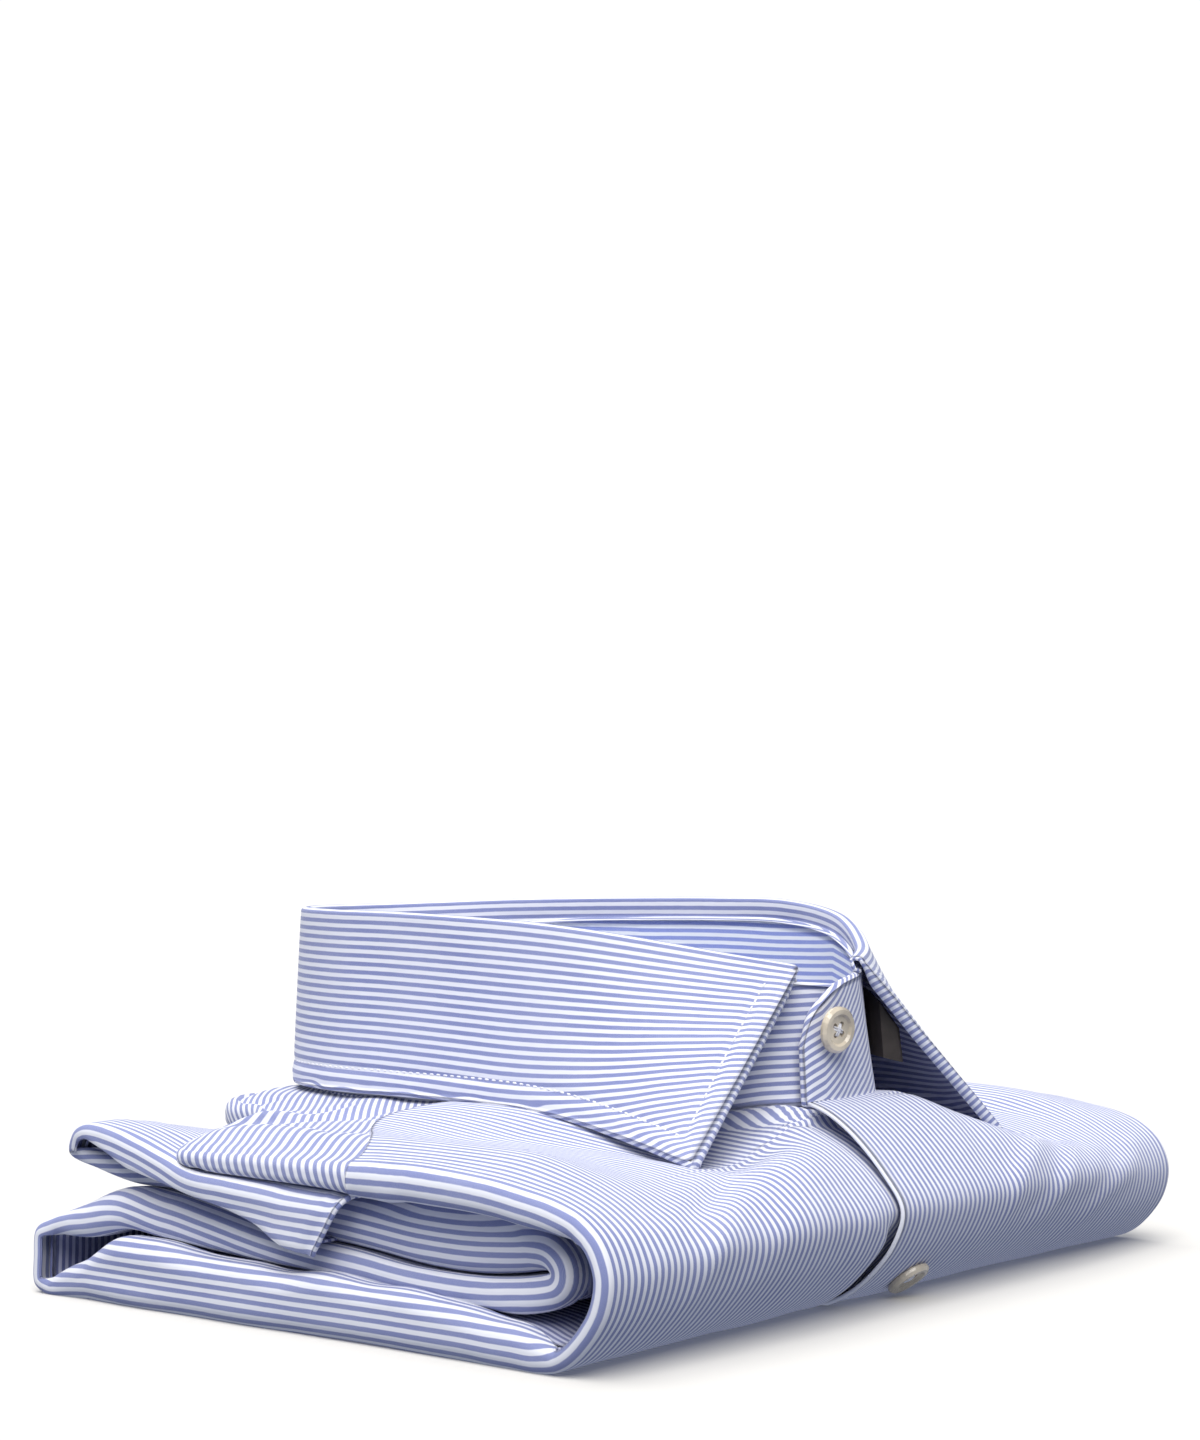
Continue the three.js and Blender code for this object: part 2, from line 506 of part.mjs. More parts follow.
function leafSection(row, side) {
  const fold = ofSide(leafFolds, side).at(row);
  const edge = ofSide(leafEdges, side).at(row);
  const stand = ofSide(standTops, side).at(row);
  for (const p of [fold, edge, stand]) p.x *= side;
  const outwards = fold.clone().sub(inwards(fold, 1)).setZ(0).normalize();
  const hang = edge.clone().sub(fold).normalize();
  const thick = outwards.clone().addScaledVector(hang, -outwards.dot(hang)).normalize();
  const outer = [];
  const inner = [];
  const foot = inwards(stand.clone().setZ(stand.z + GAP + 0.2), 0.2);
  const shoulder = inwards(fold.clone().setZ(fold.z - FOLD_RADIUS), 2 * FOLD_RADIUS);
  shoulder.z = Math.max(shoulder.z, foot.z + 0.8);
  for (const p of [foot, shoulder]) {
    inner.push(p.clone().addScaledVector(outwards, CLOTH));
    outer.push(p);
  }
  const crest = fold.clone().addScaledVector(outwards, -FOLD_RADIUS);
  outer.push(crest.clone().addScaledVector(outwards, -0.7 * FOLD_RADIUS).setZ(crest.z - 0.35));
  inner.push(crest.clone().addScaledVector(outwards, -0.35).setZ(crest.z - CLOTH - 0.2));
  outer.push(crest.clone().addScaledVector(outwards, 0.7 * FOLD_RADIUS).setZ(crest.z - 0.35));
  inner.push(crest.clone().addScaledVector(outwards, 0.35).setZ(crest.z - CLOTH - 0.2));
  for (const drop of LEAF_DROPS) {
    const p = fold.clone().lerp(edge, drop);
    outer.push(p);
    inner.push(p.clone().addScaledVector(thick, -CLOTH));
  }
  const place = (p) => point(p.x, p.y, p.z);
  return { outer: outer.map(place), inner: inner.map(place) };
}

function collarLeaf() {
  const sections = [];
  for (let row = LEAF_FRONT_ROW; row <= LAST_RING_ROW; row += RING_STEP) {
    sections.push(leafSection(row, 1));
  }
  for (let row = LAST_RING_ROW - RING_STEP; row >= LEAF_FRONT_ROW; row -= RING_STEP) {
    sections.push(leafSection(row, -1));
  }
  return wall(sections.map((s) => s.outer), sections.map((s) => s.inner));
}

// A card strip that stiffens the collar, showing under the left leaf.
const SUPPORT = table(['x', 'd', 'lowZ', 'topZ'], [
  [27.0, 10.2, 54.4, 63.0],
  [22.8, 12.8, 55.6, 69.5],
  [25.0, 17.5, 56.0, 72.0],
  [31.0, 28.0, 57.0, 76.0],
  [36.6, 45.0, 58.0, 78.0],
  [38.8, 62.0, 58.0, 78.0],
]);

function collarSupport() {
  const outer = SUPPORT.map((row) => [
    point(row.x, row.d, row.lowZ),
    point(row.x - 1.2, row.d + 0.4, row.topZ),
  ]);
  const inner = outer.map((section) => section.map((p) => p.clone().setX(p.x - SUPPORT_WALL)));
  return wall(outer, inner);
}

// ---- hidden back and sleeves -------------------------------------------------------
// Heights of the strip's outer face at a depth, in one run of rows.
function runAt(d, firstRow, lastRow) {
  const sign = Math.sign(sideWay.at(lastRow).x - sideWay.at(firstRow).x);
  let row = firstRow;
  while (row < lastRow && sign * (sideWay.at(row).x - d) < 0) row += 0.05;
  return {
    z: sideWay.at(row).y,
    innerZ: wayPoint(row, LAYER_EDGE).y,
    deep: between(STRIP, 'deep', row),
    out: HALF_WIDTH - between(STRIP, 'inset', row),
  };
}

const RUNS = { belly: [11, 18], second: [22, 33], third: [35, 45], tail: [48, 56] };
const CLEAR = CLOTH + GAP + 0.1;
const GROOVE = { lips: 100, walls: LAYER_EDGE - 3 };

function topHeight(x, d) {
  if (d <= wayPoint(SEAM_ROW, x).x) return chestHeight(x, d);
  return lerp(BACK_NECK_Z, 39.4, smooth(x, 42, 78));
}

function coreSection({ d, reach, slack }) {
  const belly = runAt(d, ...RUNS.belly);
  const second = runAt(d, ...RUNS.second);
  const third = runAt(d, ...RUNS.third);
  const tail = runAt(d, ...RUNS.tail);
  const hasTail = d > STRIP[STRIP.length - 1].dSide - 6;
  const lobe = (run) => lerp(GROOVE.walls - 1, run.out - CLEAR - 1.2, reach);
  const lips = Math.min(GROOVE.lips, lobe(belly));
  const levels = [
    [lobe(belly) - 2, CORE_INSET],
    [lobe(belly), CORE_INSET + 0.3 * (belly.deep - CLEAR - CORE_INSET)],
    [lobe(belly), belly.deep - CLEAR - 0.6],
    [lips, belly.deep - CLEAR],
    [lips, second.z - second.deep + CLEAR],
    [lobe(second), second.z - second.deep + CLEAR + 0.2],
    [lobe(second), second.z - CLEAR - 0.2],
    [GROOVE.walls, second.z - CLEAR],
    [GROOVE.walls, third.z + CLEAR],
    [lobe(third), third.z + CLEAR + 0.3],
    [lobe(third), third.z + third.deep - CLEAR - 0.4 - slack],
    [lips, third.z + third.deep - CLEAR - slack],
  ];
  const tailFloor = hasTail ? Math.min(tail.z, tail.innerZ) - CLEAR : Infinity;
  const ceiling = Math.min(tailFloor, topHeight(lips, d) - 6.2);
  levels.push([lips, Math.min(tailFloor, Math.max(ceiling, third.z + third.deep - CLEAR - slack))]);
  const shoulder = Math.max(levels[levels.length - 1][1] + 0.05, topHeight(74, d) - CORE_INSET - 1.2);
  levels.push([74, levels[levels.length - 1][1] + 0.05]);
  levels.push([70, shoulder]);
  levels.push([40, Math.max(shoulder + 0.05, topHeight(40, d) - CORE_INSET - 0.8)]);
  let floor = 0;
  const rising = levels.map(([x, z], i) => {
    floor = i ? Math.max(z, floor + 0.02) : z;
    return [x, floor];
  });
  return {
    right: rising.map(([x, z]) => point(x, d, z)),
    left: rising.map(([x, z]) => point(-x, d, z)),
  };
}

function foldedCore() {
  const sections = CORE.map(coreSection);
  return wall(sections.map((s) => s.right), sections.map((s) => s.left));
}

// ---- buttons -----------------------------------------------------------------------
const wasm = await Module();
wasm.setup();

function toSolid(geometry) {
  const bare = geometry.clone();
  bare.deleteAttribute('normal');
  bare.deleteAttribute('uv');
  const merged = mergeVertices(bare, 1e-4);
  return new wasm.Manifold(new wasm.Mesh({
    numProp: 3,
    vertProperties: new Float32Array(merged.attributes.position.array),
    triVerts: new Uint32Array(merged.index.array),
  }));
}

function toGeometry(solid) {
  const mesh = solid.getMesh();
  const geometry = new THREE.BufferGeometry();
  geometry.setAttribute('position', new THREE.BufferAttribute(mesh.vertProperties, 3));
  geometry.setIndex(new THREE.BufferAttribute(mesh.triVerts, 1));
  geometry.computeVertexNormals();
  return geometry;
}

// A four-hole button lying in XY, its back at z = 0.
function button() {
  const r = BUTTON_DIAMETER / 2;
  const t = BUTTON_THICKNESS;
  const profile = [
    [0, 0], [0.72 * r, 0], [r, 0.4 * t], [r, 0.72 * t],
    [0.88 * r, t], [0.7 * r, t], [0.6 * r, 0.74 * t], [0, 0.7 * t],
  ];
  const lathe = new THREE.LatheGeometry(profile.map(([x, y]) => new THREE.Vector2(x, y)), 24);
  lathe.rotateX(Math.PI / 2);
  let body = toSolid(lathe);
  for (let i = 0; i < 4; i++) {
    const a = (i + 0.5) * (Math.PI / 2);
    const drill = new THREE.CylinderGeometry(0.75, 0.75, 3 * t, 8);
    drill.rotateX(Math.PI / 2);
    drill.translate(1.65 * Math.cos(a), 1.65 * Math.sin(a), 0);
    body = body.subtract(toSolid(drill));
  }
  return toGeometry(body);
}

// Sets a button on a face: at a point of it, facing along a direction.
function seatButton(mesh, at, facing) {
  const way = facing.clone().normalize();
  mesh.quaternion.setFromUnitVectors(new THREE.Vector3(0, 0, 1), way);
  mesh.position.copy(at.clone().addScaledVector(way, GAP));
}

// ---- the shirt -----------------------------------------------------------------------
const shirt = new THREE.Group();

function addPiece(name, geometry, material) {
  const mesh = new THREE.Mesh(geometry, material);
  mesh.name = name;
  shirt.add(mesh);
  return mesh;
}

addPiece('front_right', frontPanel(-1, UNDERLAP, LAP_RECESS), cloth);
addPiece('front_left', frontPanel(1, PLACKET_EDGE, 0), cloth);
addPiece('folded_core', foldedCore(), clothShade);
addPiece('yoke', yoke(), cloth);
addPiece('collar_stand', collarStand(), clothShade);
addPiece('collar_leaf', collarLeaf(), cloth);
addPiece('collar_support', collarSupport(), card);

const neckButton = addPiece('button_neck', button(), horn);
seatButton(neckButton, point(-8.4, 8.1, 64.6), new THREE.Vector3(-0.16, -0.98, -0.09));

const CHEST_BUTTON_ROW = 9.62; // on the under half of the nose
const chestFace = stripPoint(CHEST_BUTTON_ROW, 1, 0, 1);
const chestInside = stripPoint(CHEST_BUTTON_ROW, 1, 1, 1);
const chestButton = addPiece('button_front', button(), horn);
seatButton(chestButton, chestFace, chestFace.clone().sub(chestInside));

export default shirt;
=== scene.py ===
# Looks of the folded striped dress shirt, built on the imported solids.
# Lengths are in millimetres until a mesh is made.  d is the depth behind the front
# corner of the floor, so y = d + CORNER_Y.
import math

import bpy
import numpy as np
from mathutils import Matrix, Vector


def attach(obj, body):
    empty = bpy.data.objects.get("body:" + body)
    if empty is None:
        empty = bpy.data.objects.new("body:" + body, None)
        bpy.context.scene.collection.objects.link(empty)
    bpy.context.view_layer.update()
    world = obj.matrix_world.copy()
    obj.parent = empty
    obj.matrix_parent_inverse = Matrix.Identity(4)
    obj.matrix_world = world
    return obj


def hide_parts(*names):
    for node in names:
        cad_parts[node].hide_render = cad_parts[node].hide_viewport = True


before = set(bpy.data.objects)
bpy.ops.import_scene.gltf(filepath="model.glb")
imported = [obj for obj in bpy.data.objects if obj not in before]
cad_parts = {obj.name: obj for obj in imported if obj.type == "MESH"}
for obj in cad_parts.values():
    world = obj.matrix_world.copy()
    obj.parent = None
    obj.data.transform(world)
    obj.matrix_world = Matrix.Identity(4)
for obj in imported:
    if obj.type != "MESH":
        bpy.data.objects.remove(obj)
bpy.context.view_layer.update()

scene = bpy.context.scene
MM = 0.001
CORNER_Y = -86.0
HALF_WIDTH = 125.0
CLOTH = 0.7  # a folded ply as it shows
STRIPE = 2.1  # stripe repeat
BAND = 1.9  # wall of the collar stand
LEAF = 1.15  # wall of the collar leaf
GAP = 0.3  # between sewn pieces
PLACKET_EDGE = 19.0  # how far the left front goes over the middle
UNDERLAP = 14.0  # how far the right front goes under it
UNDER_BAND = 2.5  # how far in the band's right end lies, under its left one
HEM_RAKE = 8.0  # how far back the hem's side leans
DEPTH_ZONE = (62.0, 128.0)  # from the middle's way to the side's
NECK_FRONT_D = 8.9  # the neck opening starts behind this depth
BACK_NECK_Z = 43.8  # the neckline's height behind the fronts

# ---- camera ----
camera_data = bpy.data.cameras.new("photo_camera")
camera_data.sensor_width = 36.0
camera_data.lens = 63.686
camera_data.clip_start = 0.01
camera = bpy.data.objects.new("photo_camera", camera_data)
scene.collection.objects.link(camera)
camera.location = (-0.530186, -0.423874, 0.105280)
YAW, PITCH = math.radians(38.738), math.radians(3.1807)
look = Vector((math.cos(YAW) * math.cos(PITCH), math.sin(YAW) * math.cos(PITCH), math.sin(PITCH)))
camera.rotation_euler = look.to_track_quat("-Z", "Y").to_euler()
scene.camera = camera

# ---- tables: the solids' own, with squarer back folds and narrower hems and band end ----
# Depth and height of the strip's way at the side, then in the middle where it differs.
WAY = [
    # 0 chest
    (58, 38.2, 102, 43.6), (40, 38.4, 62, 44.8), (20, 37.4, 30, 46), (9, 36, 17, 46.8),
    (0, 34.4, 7, 46.4),
    # 5 nose
    (-7, 31.8, -2.1, 41.8), (-12, 27.4, -12.6, 31.8), (-14.4, 21, -17.6, 24),
    (-13.2, 14, -15.4, 16.8), (-9, 7.6, -10.2, 10), (-3.2, 2.6, -3.4, 4.2),
    # 11 belly
    (4, 0.3, 4.6, 0.5), (12, 0), (33, 0), (57, 0), (105, 0), (134, 0), (150, 0),
    (160.6, 0.2, 161.2, 0.2),
    # 19 back fold
    (164.8, 2.2, 166.2, 2.2), (165.2, 8.7, 167.2, 8.7), (164.5, 15.2, 166.2, 15.2),
    # 22 second layer
    (159, 18, 160, 18), (148, 21.6), (134.5, 26.2), (120, 26), (105, 24), (88, 20.8), (72, 18.7),
    (56, 17.4), (40, 16), (24, 15.8), (12, 17),
    # 33 curl
    (4.6, 18.4), (2.9, 19.2), (4.6, 20.1),
    # 36 third layer
    (12, 19), (24, 17.6), (40, 17.7), (56, 19.2), (72, 20.5), (88, 22.6), (105, 25.8), (120, 27.8),
    (134.5, 28.2), (146, 31.2),
    # 46 upper back fold
    (153.8, 34.4, 153.8, 32.4), (151.8, 39.4, 151.8, 34.8),
    # 48 tail
    (147.6, 41.4, 147.6, 35.9), (138, 41, 138, 35.2), (129, 39.2, 129, 34.4), (119, 36, 119, 33.8),
    (110, 32.8, 110, 33), (98, 32.1, 98, 32.3), (84, 31.7, 84, 31.9), (71, 31.3, 71, 31.5),
    (60, 31, 60, 31.2),
]
# Distances from the middle between which the height turns into the side's.
FADES = [(40, 112), (28, 70), (22, 60), (21, 57), (21, 56), (24, 72), (40, 100)]
FADES += 17 * [(55, 118)] + 33 * [(70, 118)]
# The wrapped edge's depth, its lip's length and its place in from the side.  Lines as above.
WRAPS = [
    (5.8, 7, 0), (6, 7, 0), (5.8, 7, 0), (5.6, 6, 0), (5, 4, 0),
    (3.6, 1, 0), (2, 0, 0), (2, 0, 0), (2, 0, 0), (2, 0, 0), (2.6, 0, 0),
    (6, 2, 0), (8.4, 3, 0), (10.6, 3, 0), (12.6, 3, 0), (12.6, 3, 0), (15.2, 3, 0), (8.5, 2, 0),
    (3.2, 0, 0),
    (2, 0, 0), (2, 0, 0), (2, 0, 0),
    (3, 0, 0.2), (6.2, 3, 0.6), (8.4, 7, 1), (9.4, 7, 1.5), (9.2, 7, 2), (7, 7, 2), (5.2, 7, 2),
    (4.2, 5, 2), (4.2, 5, 2), (4.6, 6, 2), (6.4, 5, 2),
    (6, 4, 2.4), (5.2, 4, 2.8), (6.4, 4, 3.2),
    (11, 5, 3.6), (13.4, 7, 4), (13.3, 7, 4), (10.4, 7, 4), (9, 7, 4), (7.4, 7, 4), (4.4, 7, 4),
    (4.8, 6, 3.7), (5.4, 5, 3), (3.6, 2, 2),
    (2, 0, 1), (2, 0, 0.4),
    (2, 0, 0), (4.2, 0, 0), (6, 0, 0), (5, 0, 0), (3.6, 0, 0), (5, 0, 0), (7.8, 0, 0), (11.6, 0, 0),
    (12.6, 0, 0),
]
NOSE_TOP_ROW = 6
LAST_ROW = len(WAY) - 1
NECKLINE = [  # x, d
    (0, 8.6), (9.5, 9.6), (18, 12.6), (26.5, 22), (33, 37), (36.6, 58), (38.2, 80), (38.8, 103),
    (38.2, 126), (35, 150), (26.6, 168.4), (14, 178), (0, 180.6),
]
# x, d and z of the stand's top, the leaf's fold and the leaf's edge.
COLLAR_RIGHT = [
    (0, 10.6, 74.2, 0, 9, 77, 60, 0, 37), (7.5, 11.8, 74.8, 7, 11, 77.5, 61, 5, 37),
    (13.4, 15.6, 75.4, 14.6, 14.2, 79.2, 62.2, 11, 37.2),
    (21.6, 25, 76.8, 24.6, 27, 81.8, 58.4, 26, 39.4),
    (29.4, 39, 78.4, 32.2, 43, 84.6, 53, 42.5, 41.4), (34, 58, 80, 37.2, 61, 87.2, 48, 61, 43.4),
    (36, 80, 81, 39.4, 80, 89, 44.8, 80, 44.6), (37, 103, 81.8, 40.2, 103, 90.2, 42.8, 103, 45),
    (36.6, 126, 82, 39.6, 126, 91, 41.6, 126, 45),
    (33.6, 149.6, 82, 36.8, 150.6, 91.3, 38.6, 151.2, 44.9),
    (25.4, 167.4, 82.2, 28.2, 171, 91.6, 29.4, 172.6, 44.9),
    (13.4, 176.8, 82.4, 15, 181.6, 91.8, 15.6, 183.8, 45.2),
    (0, 179.4, 82.4, 0, 184.6, 91.9, 0, 187.2, 45.4),
]
COLLAR_LEFT = [
    (0, 10.2, 75.4, 0, 8.5, 79, 46, -9, 35), (5.4, 10.8, 76.4, 4, 9.4, 79.6, 50, -6, 35),
    (10, 12.4, 76.9, 9.4, 10.6, 80.6, 54.2, -3.4, 35.9),
    (21.2, 19.5, 80.2, 22.4, 17.2, 83.6, 57, 13, 38.6),
    (29, 32, 86, 31.6, 29.4, 90.2, 54.6, 31, 40.6), (34, 51, 89, 36.8, 50, 94, 49.6, 53, 43),
    (36, 76, 89.4, 39.4, 76, 94.6, 45.4, 77, 44.6), (37, 102, 89, 40.4, 102, 94.4, 43, 102.6, 45),
    (36.6, 126, 88.2, 39.8, 126, 94, 41.6, 126, 45),
    (33.6, 149.6, 86.4, 36.8, 150.6, 93.4, 38.6, 151.2, 44.9),
    (25.4, 167.4, 84.6, 28.2, 171, 92.6, 29.4, 172.6, 44.9),
    (13.4, 176.8, 83.2, 15, 181.6, 92.1, 15.6, 183.8, 45.2),
    (0, 179.4, 82.4, 0, 184.6, 91.9, 0, 187.2, 45.4),
]
LEAF_FRONT_ROW = 2  # of the neckline, where the leaf starts
LAST_RING_ROW = 12  # the middle of the back
BAND_END = [  # x, d of the foot; x, d, z of the top
    (-16.6, 10.4, -16, 11.5, 60.6), (-14.4, 9.2, -13.8, 10.7, 67.2), (-7.8, 8.1, -7.4, 9.8, 72.6),
]
YOKE = [  # row of the neckline; x, d, z of the rim; wrap's depth, lip; follows the fronts
    (6.96, 125, 58, 38.2, 5.8, 7, 1), (7.15, 125, 74, 38.4, 5.4, 7, 0.7),
    (7.35, 125, 90, 38.5, 5.2, 7, 0.35), (7.55, 125, 104, 38.2, 4.6, 4, 0.1),
    (7.75, 124, 114.6, 38.1, 2.2, 0, 0), (7.95, 115, 121, 39.4, 2, 0, 0),
    (8.2, 98, 127, 40.6, 2.2, 0, 0), (8.5, 81, 135, 39.8, 2.4, 0, 0),
    (8.85, 66, 149, 39.5, 3, 1, 0), (9.25, 57, 160, 40.2, 6, 3, 0), (9.8, 52, 174, 40.6, 8, 4, 0),
    (10.5, 43, 184.6, 40.8, 8.2, 5, 0), (11.2, 24, 188.4, 41, 8.2, 8, 0),
    (12, 0, 189.6, 41.1, 8.2, 8, 0),
]


# ---- small tools ----
def lerp(a, b, t):
    return a + (b - a) * t


def smooth(x, low, high):
    t = np.clip((np.asarray(x, float) - low) / (high - low), 0, 1)
    return t * t * (3 - 2 * t)


def bell(x, place, width):
    """A bump of height 1 at place."""
    return np.exp(-((x - place) / width) ** 2)


def unit(v):
    return v / np.maximum(np.linalg.norm(v, axis=-1, keepdims=True), 1e-9)


def run_length(points):
    """Length along a line of points, from its first one to each."""
    return np.concatenate([[0], np.linalg.norm(np.diff(points, axis=0), axis=1)]).cumsum()


def flat_run(a, b, start=0.0):
    """Length along a line in a plane, counted on from start."""
    return np.concatenate([[start], np.hypot(np.diff(a), np.diff(b))]).cumsum()


class Curve:
    """A centripetal Catmull-Rom curve through a table's rows, or through some of its columns."""

    def __init__(self, rows, first=None, last=None):
        self.p = np.array([row[first:last] for row in rows], float)

    def at(self, row):
        p, last = self.p, len(self.p) - 1
        row = np.clip(np.asarray(row, float), 0, last)
        i = np.minimum(np.floor(row).astype(int), last - 1)
        w = (row - i)[..., None]
        before = np.where((i > 0)[..., None], p[np.maximum(i - 1, 0)], 2 * p[0] - p[1])
        after = np.where((i + 2 <= last)[..., None], p[np.minimum(i + 2, last)],
                         2 * p[last] - p[last - 1])
        p1, p2 = p[i], p[i + 1]
        step = lambda a, b: np.maximum(((b - a) ** 2).sum(-1, keepdims=True) ** 0.25, 1e-4)
        d0, d1, d2 = step(before, p1), step(p1, p2), step(p2, after)
        t1 = ((p1 - before) / d0 - (p2 - before) / (d0 + d1) + (p2 - p1) / d1) * d1
        t2 = ((p2 - p1) / d1 - (after - p1) / (d1 + d2) + (after - p2) / d2) * d1
        return p1 + t1 * w + (-3 * p1 + 3 * p2 - 2 * t1 - t2) * w ** 2 \
            + (2 * p1 - 2 * p2 + t1 + t2) * w ** 3


LATTICE = 64  # cells of the noise before it repeats


def value_noise(u, v, seed):
    """Smooth noise from -1 to 1 on a lattice of unit cells."""
    grid = np.random.default_rng(seed).uniform(-1, 1, (LATTICE, LATTICE))
    iu, iv = np.floor(u).astype(int), np.floor(v).astype(int)
    fu, fv = smooth(u - iu, 0, 1), smooth(v - iv, 0, 1)
    g = lambda a, b: grid[a % LATTICE, b % LATTICE]
    low = lerp(g(iu, iv), g(iu + 1, iv), fu)
    high = lerp(g(iu, iv + 1), g(iu + 1, iv + 1), fu)
    return lerp(low, high, fv)


def ripples(x, length, shape, seed):
    """Noise on the cloth.  Its shape is its height, its size across and its size along."""
    height, across, along = shape
    return height * value_noise(x / across, length / along, seed)


side_way, mid_way = Curve(WAY, 0, 2), Curve(WAY, -2)
wrap_shape, fade_from, neckline = Curve(WRAPS), Curve(FADES), Curve(NECKLINE)
stand_tops, leaf_folds, leaf_edges = (
    {-1: Curve(COLLAR_RIGHT, i, i + 3), 1: Curve(COLLAR_LEFT, i, i + 3)} for i in (0, 3, 6))


def way(row, x):
    """Depth and height of the fronts' outer face at rows and distances x."""
    row, x = np.broadcast_arrays(np.asarray(row, float), np.asarray(x, float))
    side, mid, fade = side_way.at(row), mid_way.at(row), fade_from.at(row)
    d = lerp(mid[..., 0], side[..., 0], smooth(np.abs(x), *DEPTH_ZONE))
    z = lerp(mid[..., 1], side[..., 1], smooth(np.abs(x), fade[..., 0], fade[..., 1]))
    return d, z


ROW_STEP = 0.06  # for the way's direction


def strip_point(row, x, n, side):
    """Points n below the fronts' outer face, as an array of x, y, z."""
    row, x, n = np.broadcast_arrays(*(np.asarray(v, float) for v in (row, x, n)))
    d, z = way(row, x)
    d1, z1 = way(row + ROW_STEP, x)
    d0, z0 = way(row - ROW_STEP, x)
    td, tz = d1 - d0, z1 - z0
    length = np.maximum(np.hypot(td, tz), 1e-9)
    return np.stack([side * x, d - tz / length * n + CORNER_Y, z + td / length * n], -1)


SEAM_BLEND = 6  # the neckline turns from the chest to the yoke over this far each way


def neckline_height(x, d):
    seam = float(way(0, x)[0])
    chest = float(np.interp(min(d, seam), *way(np.linspace(NOSE_TOP_ROW, 0, 121), float(x))))
    return lerp(chest, BACK_NECK_Z, smooth(d, seam - SEAM_BLEND, seam + SEAM_BLEND))


LEAST_WRAP = 1.8  # least depth of a wrapped edge
BARE_DEPTH, FULL_DEPTH = 2.4, 4.0  # between these depths a bare edge turns into a hem
BARE_SWEEP = 0.3
TOP_RADIUS = (1.6, 4.2, 0.42)  # least, most and share of the wrap's depth
LOW_RADIUS = (1.6, 3.4, 0.36)
ROUND_COUNT, WALL_COUNT, LIP_COUNT = 7, 5, 6


def wrap_radius(deep, least, most, share):
    return min(most, max(least, share * deep))


def wrap_section(inner, out, deep, lip, flat_count, turned=1.0):
    """x, depth and arc length of a wrapped strip's section."""
    deep = max(deep, BARE_DEPTH)
    turn = turned * smooth(deep, BARE_DEPTH, FULL_DEPTH)
    top, low = wrap_radius(deep, *TOP_RADIUS), wrap_radius(deep, *LOW_RADIUS)
    sweep = lerp(BARE_SWEEP, math.pi / 2, turn)
    a = np.linspace(0, math.pi / 2, ROUND_COUNT)
    b = np.linspace(0, sweep, ROUND_COUNT)
    centre = deep - low * math.sin(sweep)
    wall = np.linspace(0, 1, WALL_COUNT)[1:-1]
    reach = (BARE_SWEEP + lip * turn) * np.linspace(0, 1, LIP_COUNT)[1:]
    end_x = out - low + low * math.cos(sweep)
    end_n = centre + low * math.sin(sweep)
    flat = np.linspace(inner, out - top, flat_count)[:-1]
    x = np.concatenate([
        flat, out - top + top * np.sin(a), out + 0 * wall,
        out - low + low * np.cos(b), end_x - reach * math.sin(sweep),
    ])
    n = np.concatenate([
        0 * flat, top - top * np.cos(a), lerp(top, centre, wall),
        centre + low * np.sin(b), end_n + reach * math.cos(sweep),
    ])
    return x, n, flat_run(x, n, inner)


# ---- meshes ----
def grid_normals(p):
    return unit(np.cross(np.gradient(p, axis=0), np.gradient(p, axis=1)))


def make_mesh(name, verts, faces, material, uvs=None):
    mesh = bpy.data.meshes.new(name)
    verts = np.array([tuple(v) for v in verts], float)
    verts[:, 2] = np.maximum(verts[:, 2], 0)  # it rests flat
    mesh.from_pydata((verts * MM).tolist(), [], [list(map(int, f)) for f in faces])
    uvs = np.zeros((len(verts), 2)) if uvs is None else uvs
    layer = mesh.uv_layers.new(name="cloth")
    loops = np.zeros(len(mesh.loops), int)
    mesh.loops.foreach_get("vertex_index", loops)
    layer.data.foreach_set("uv", np.asarray(uvs, np.float32)[loops].ravel())
    mesh.shade_smooth()
    mesh.materials.append(material)
    piece = bpy.data.objects.new(name, mesh)
    scene.collection.objects.link(piece)
    return piece


RIM_STEPS = 4


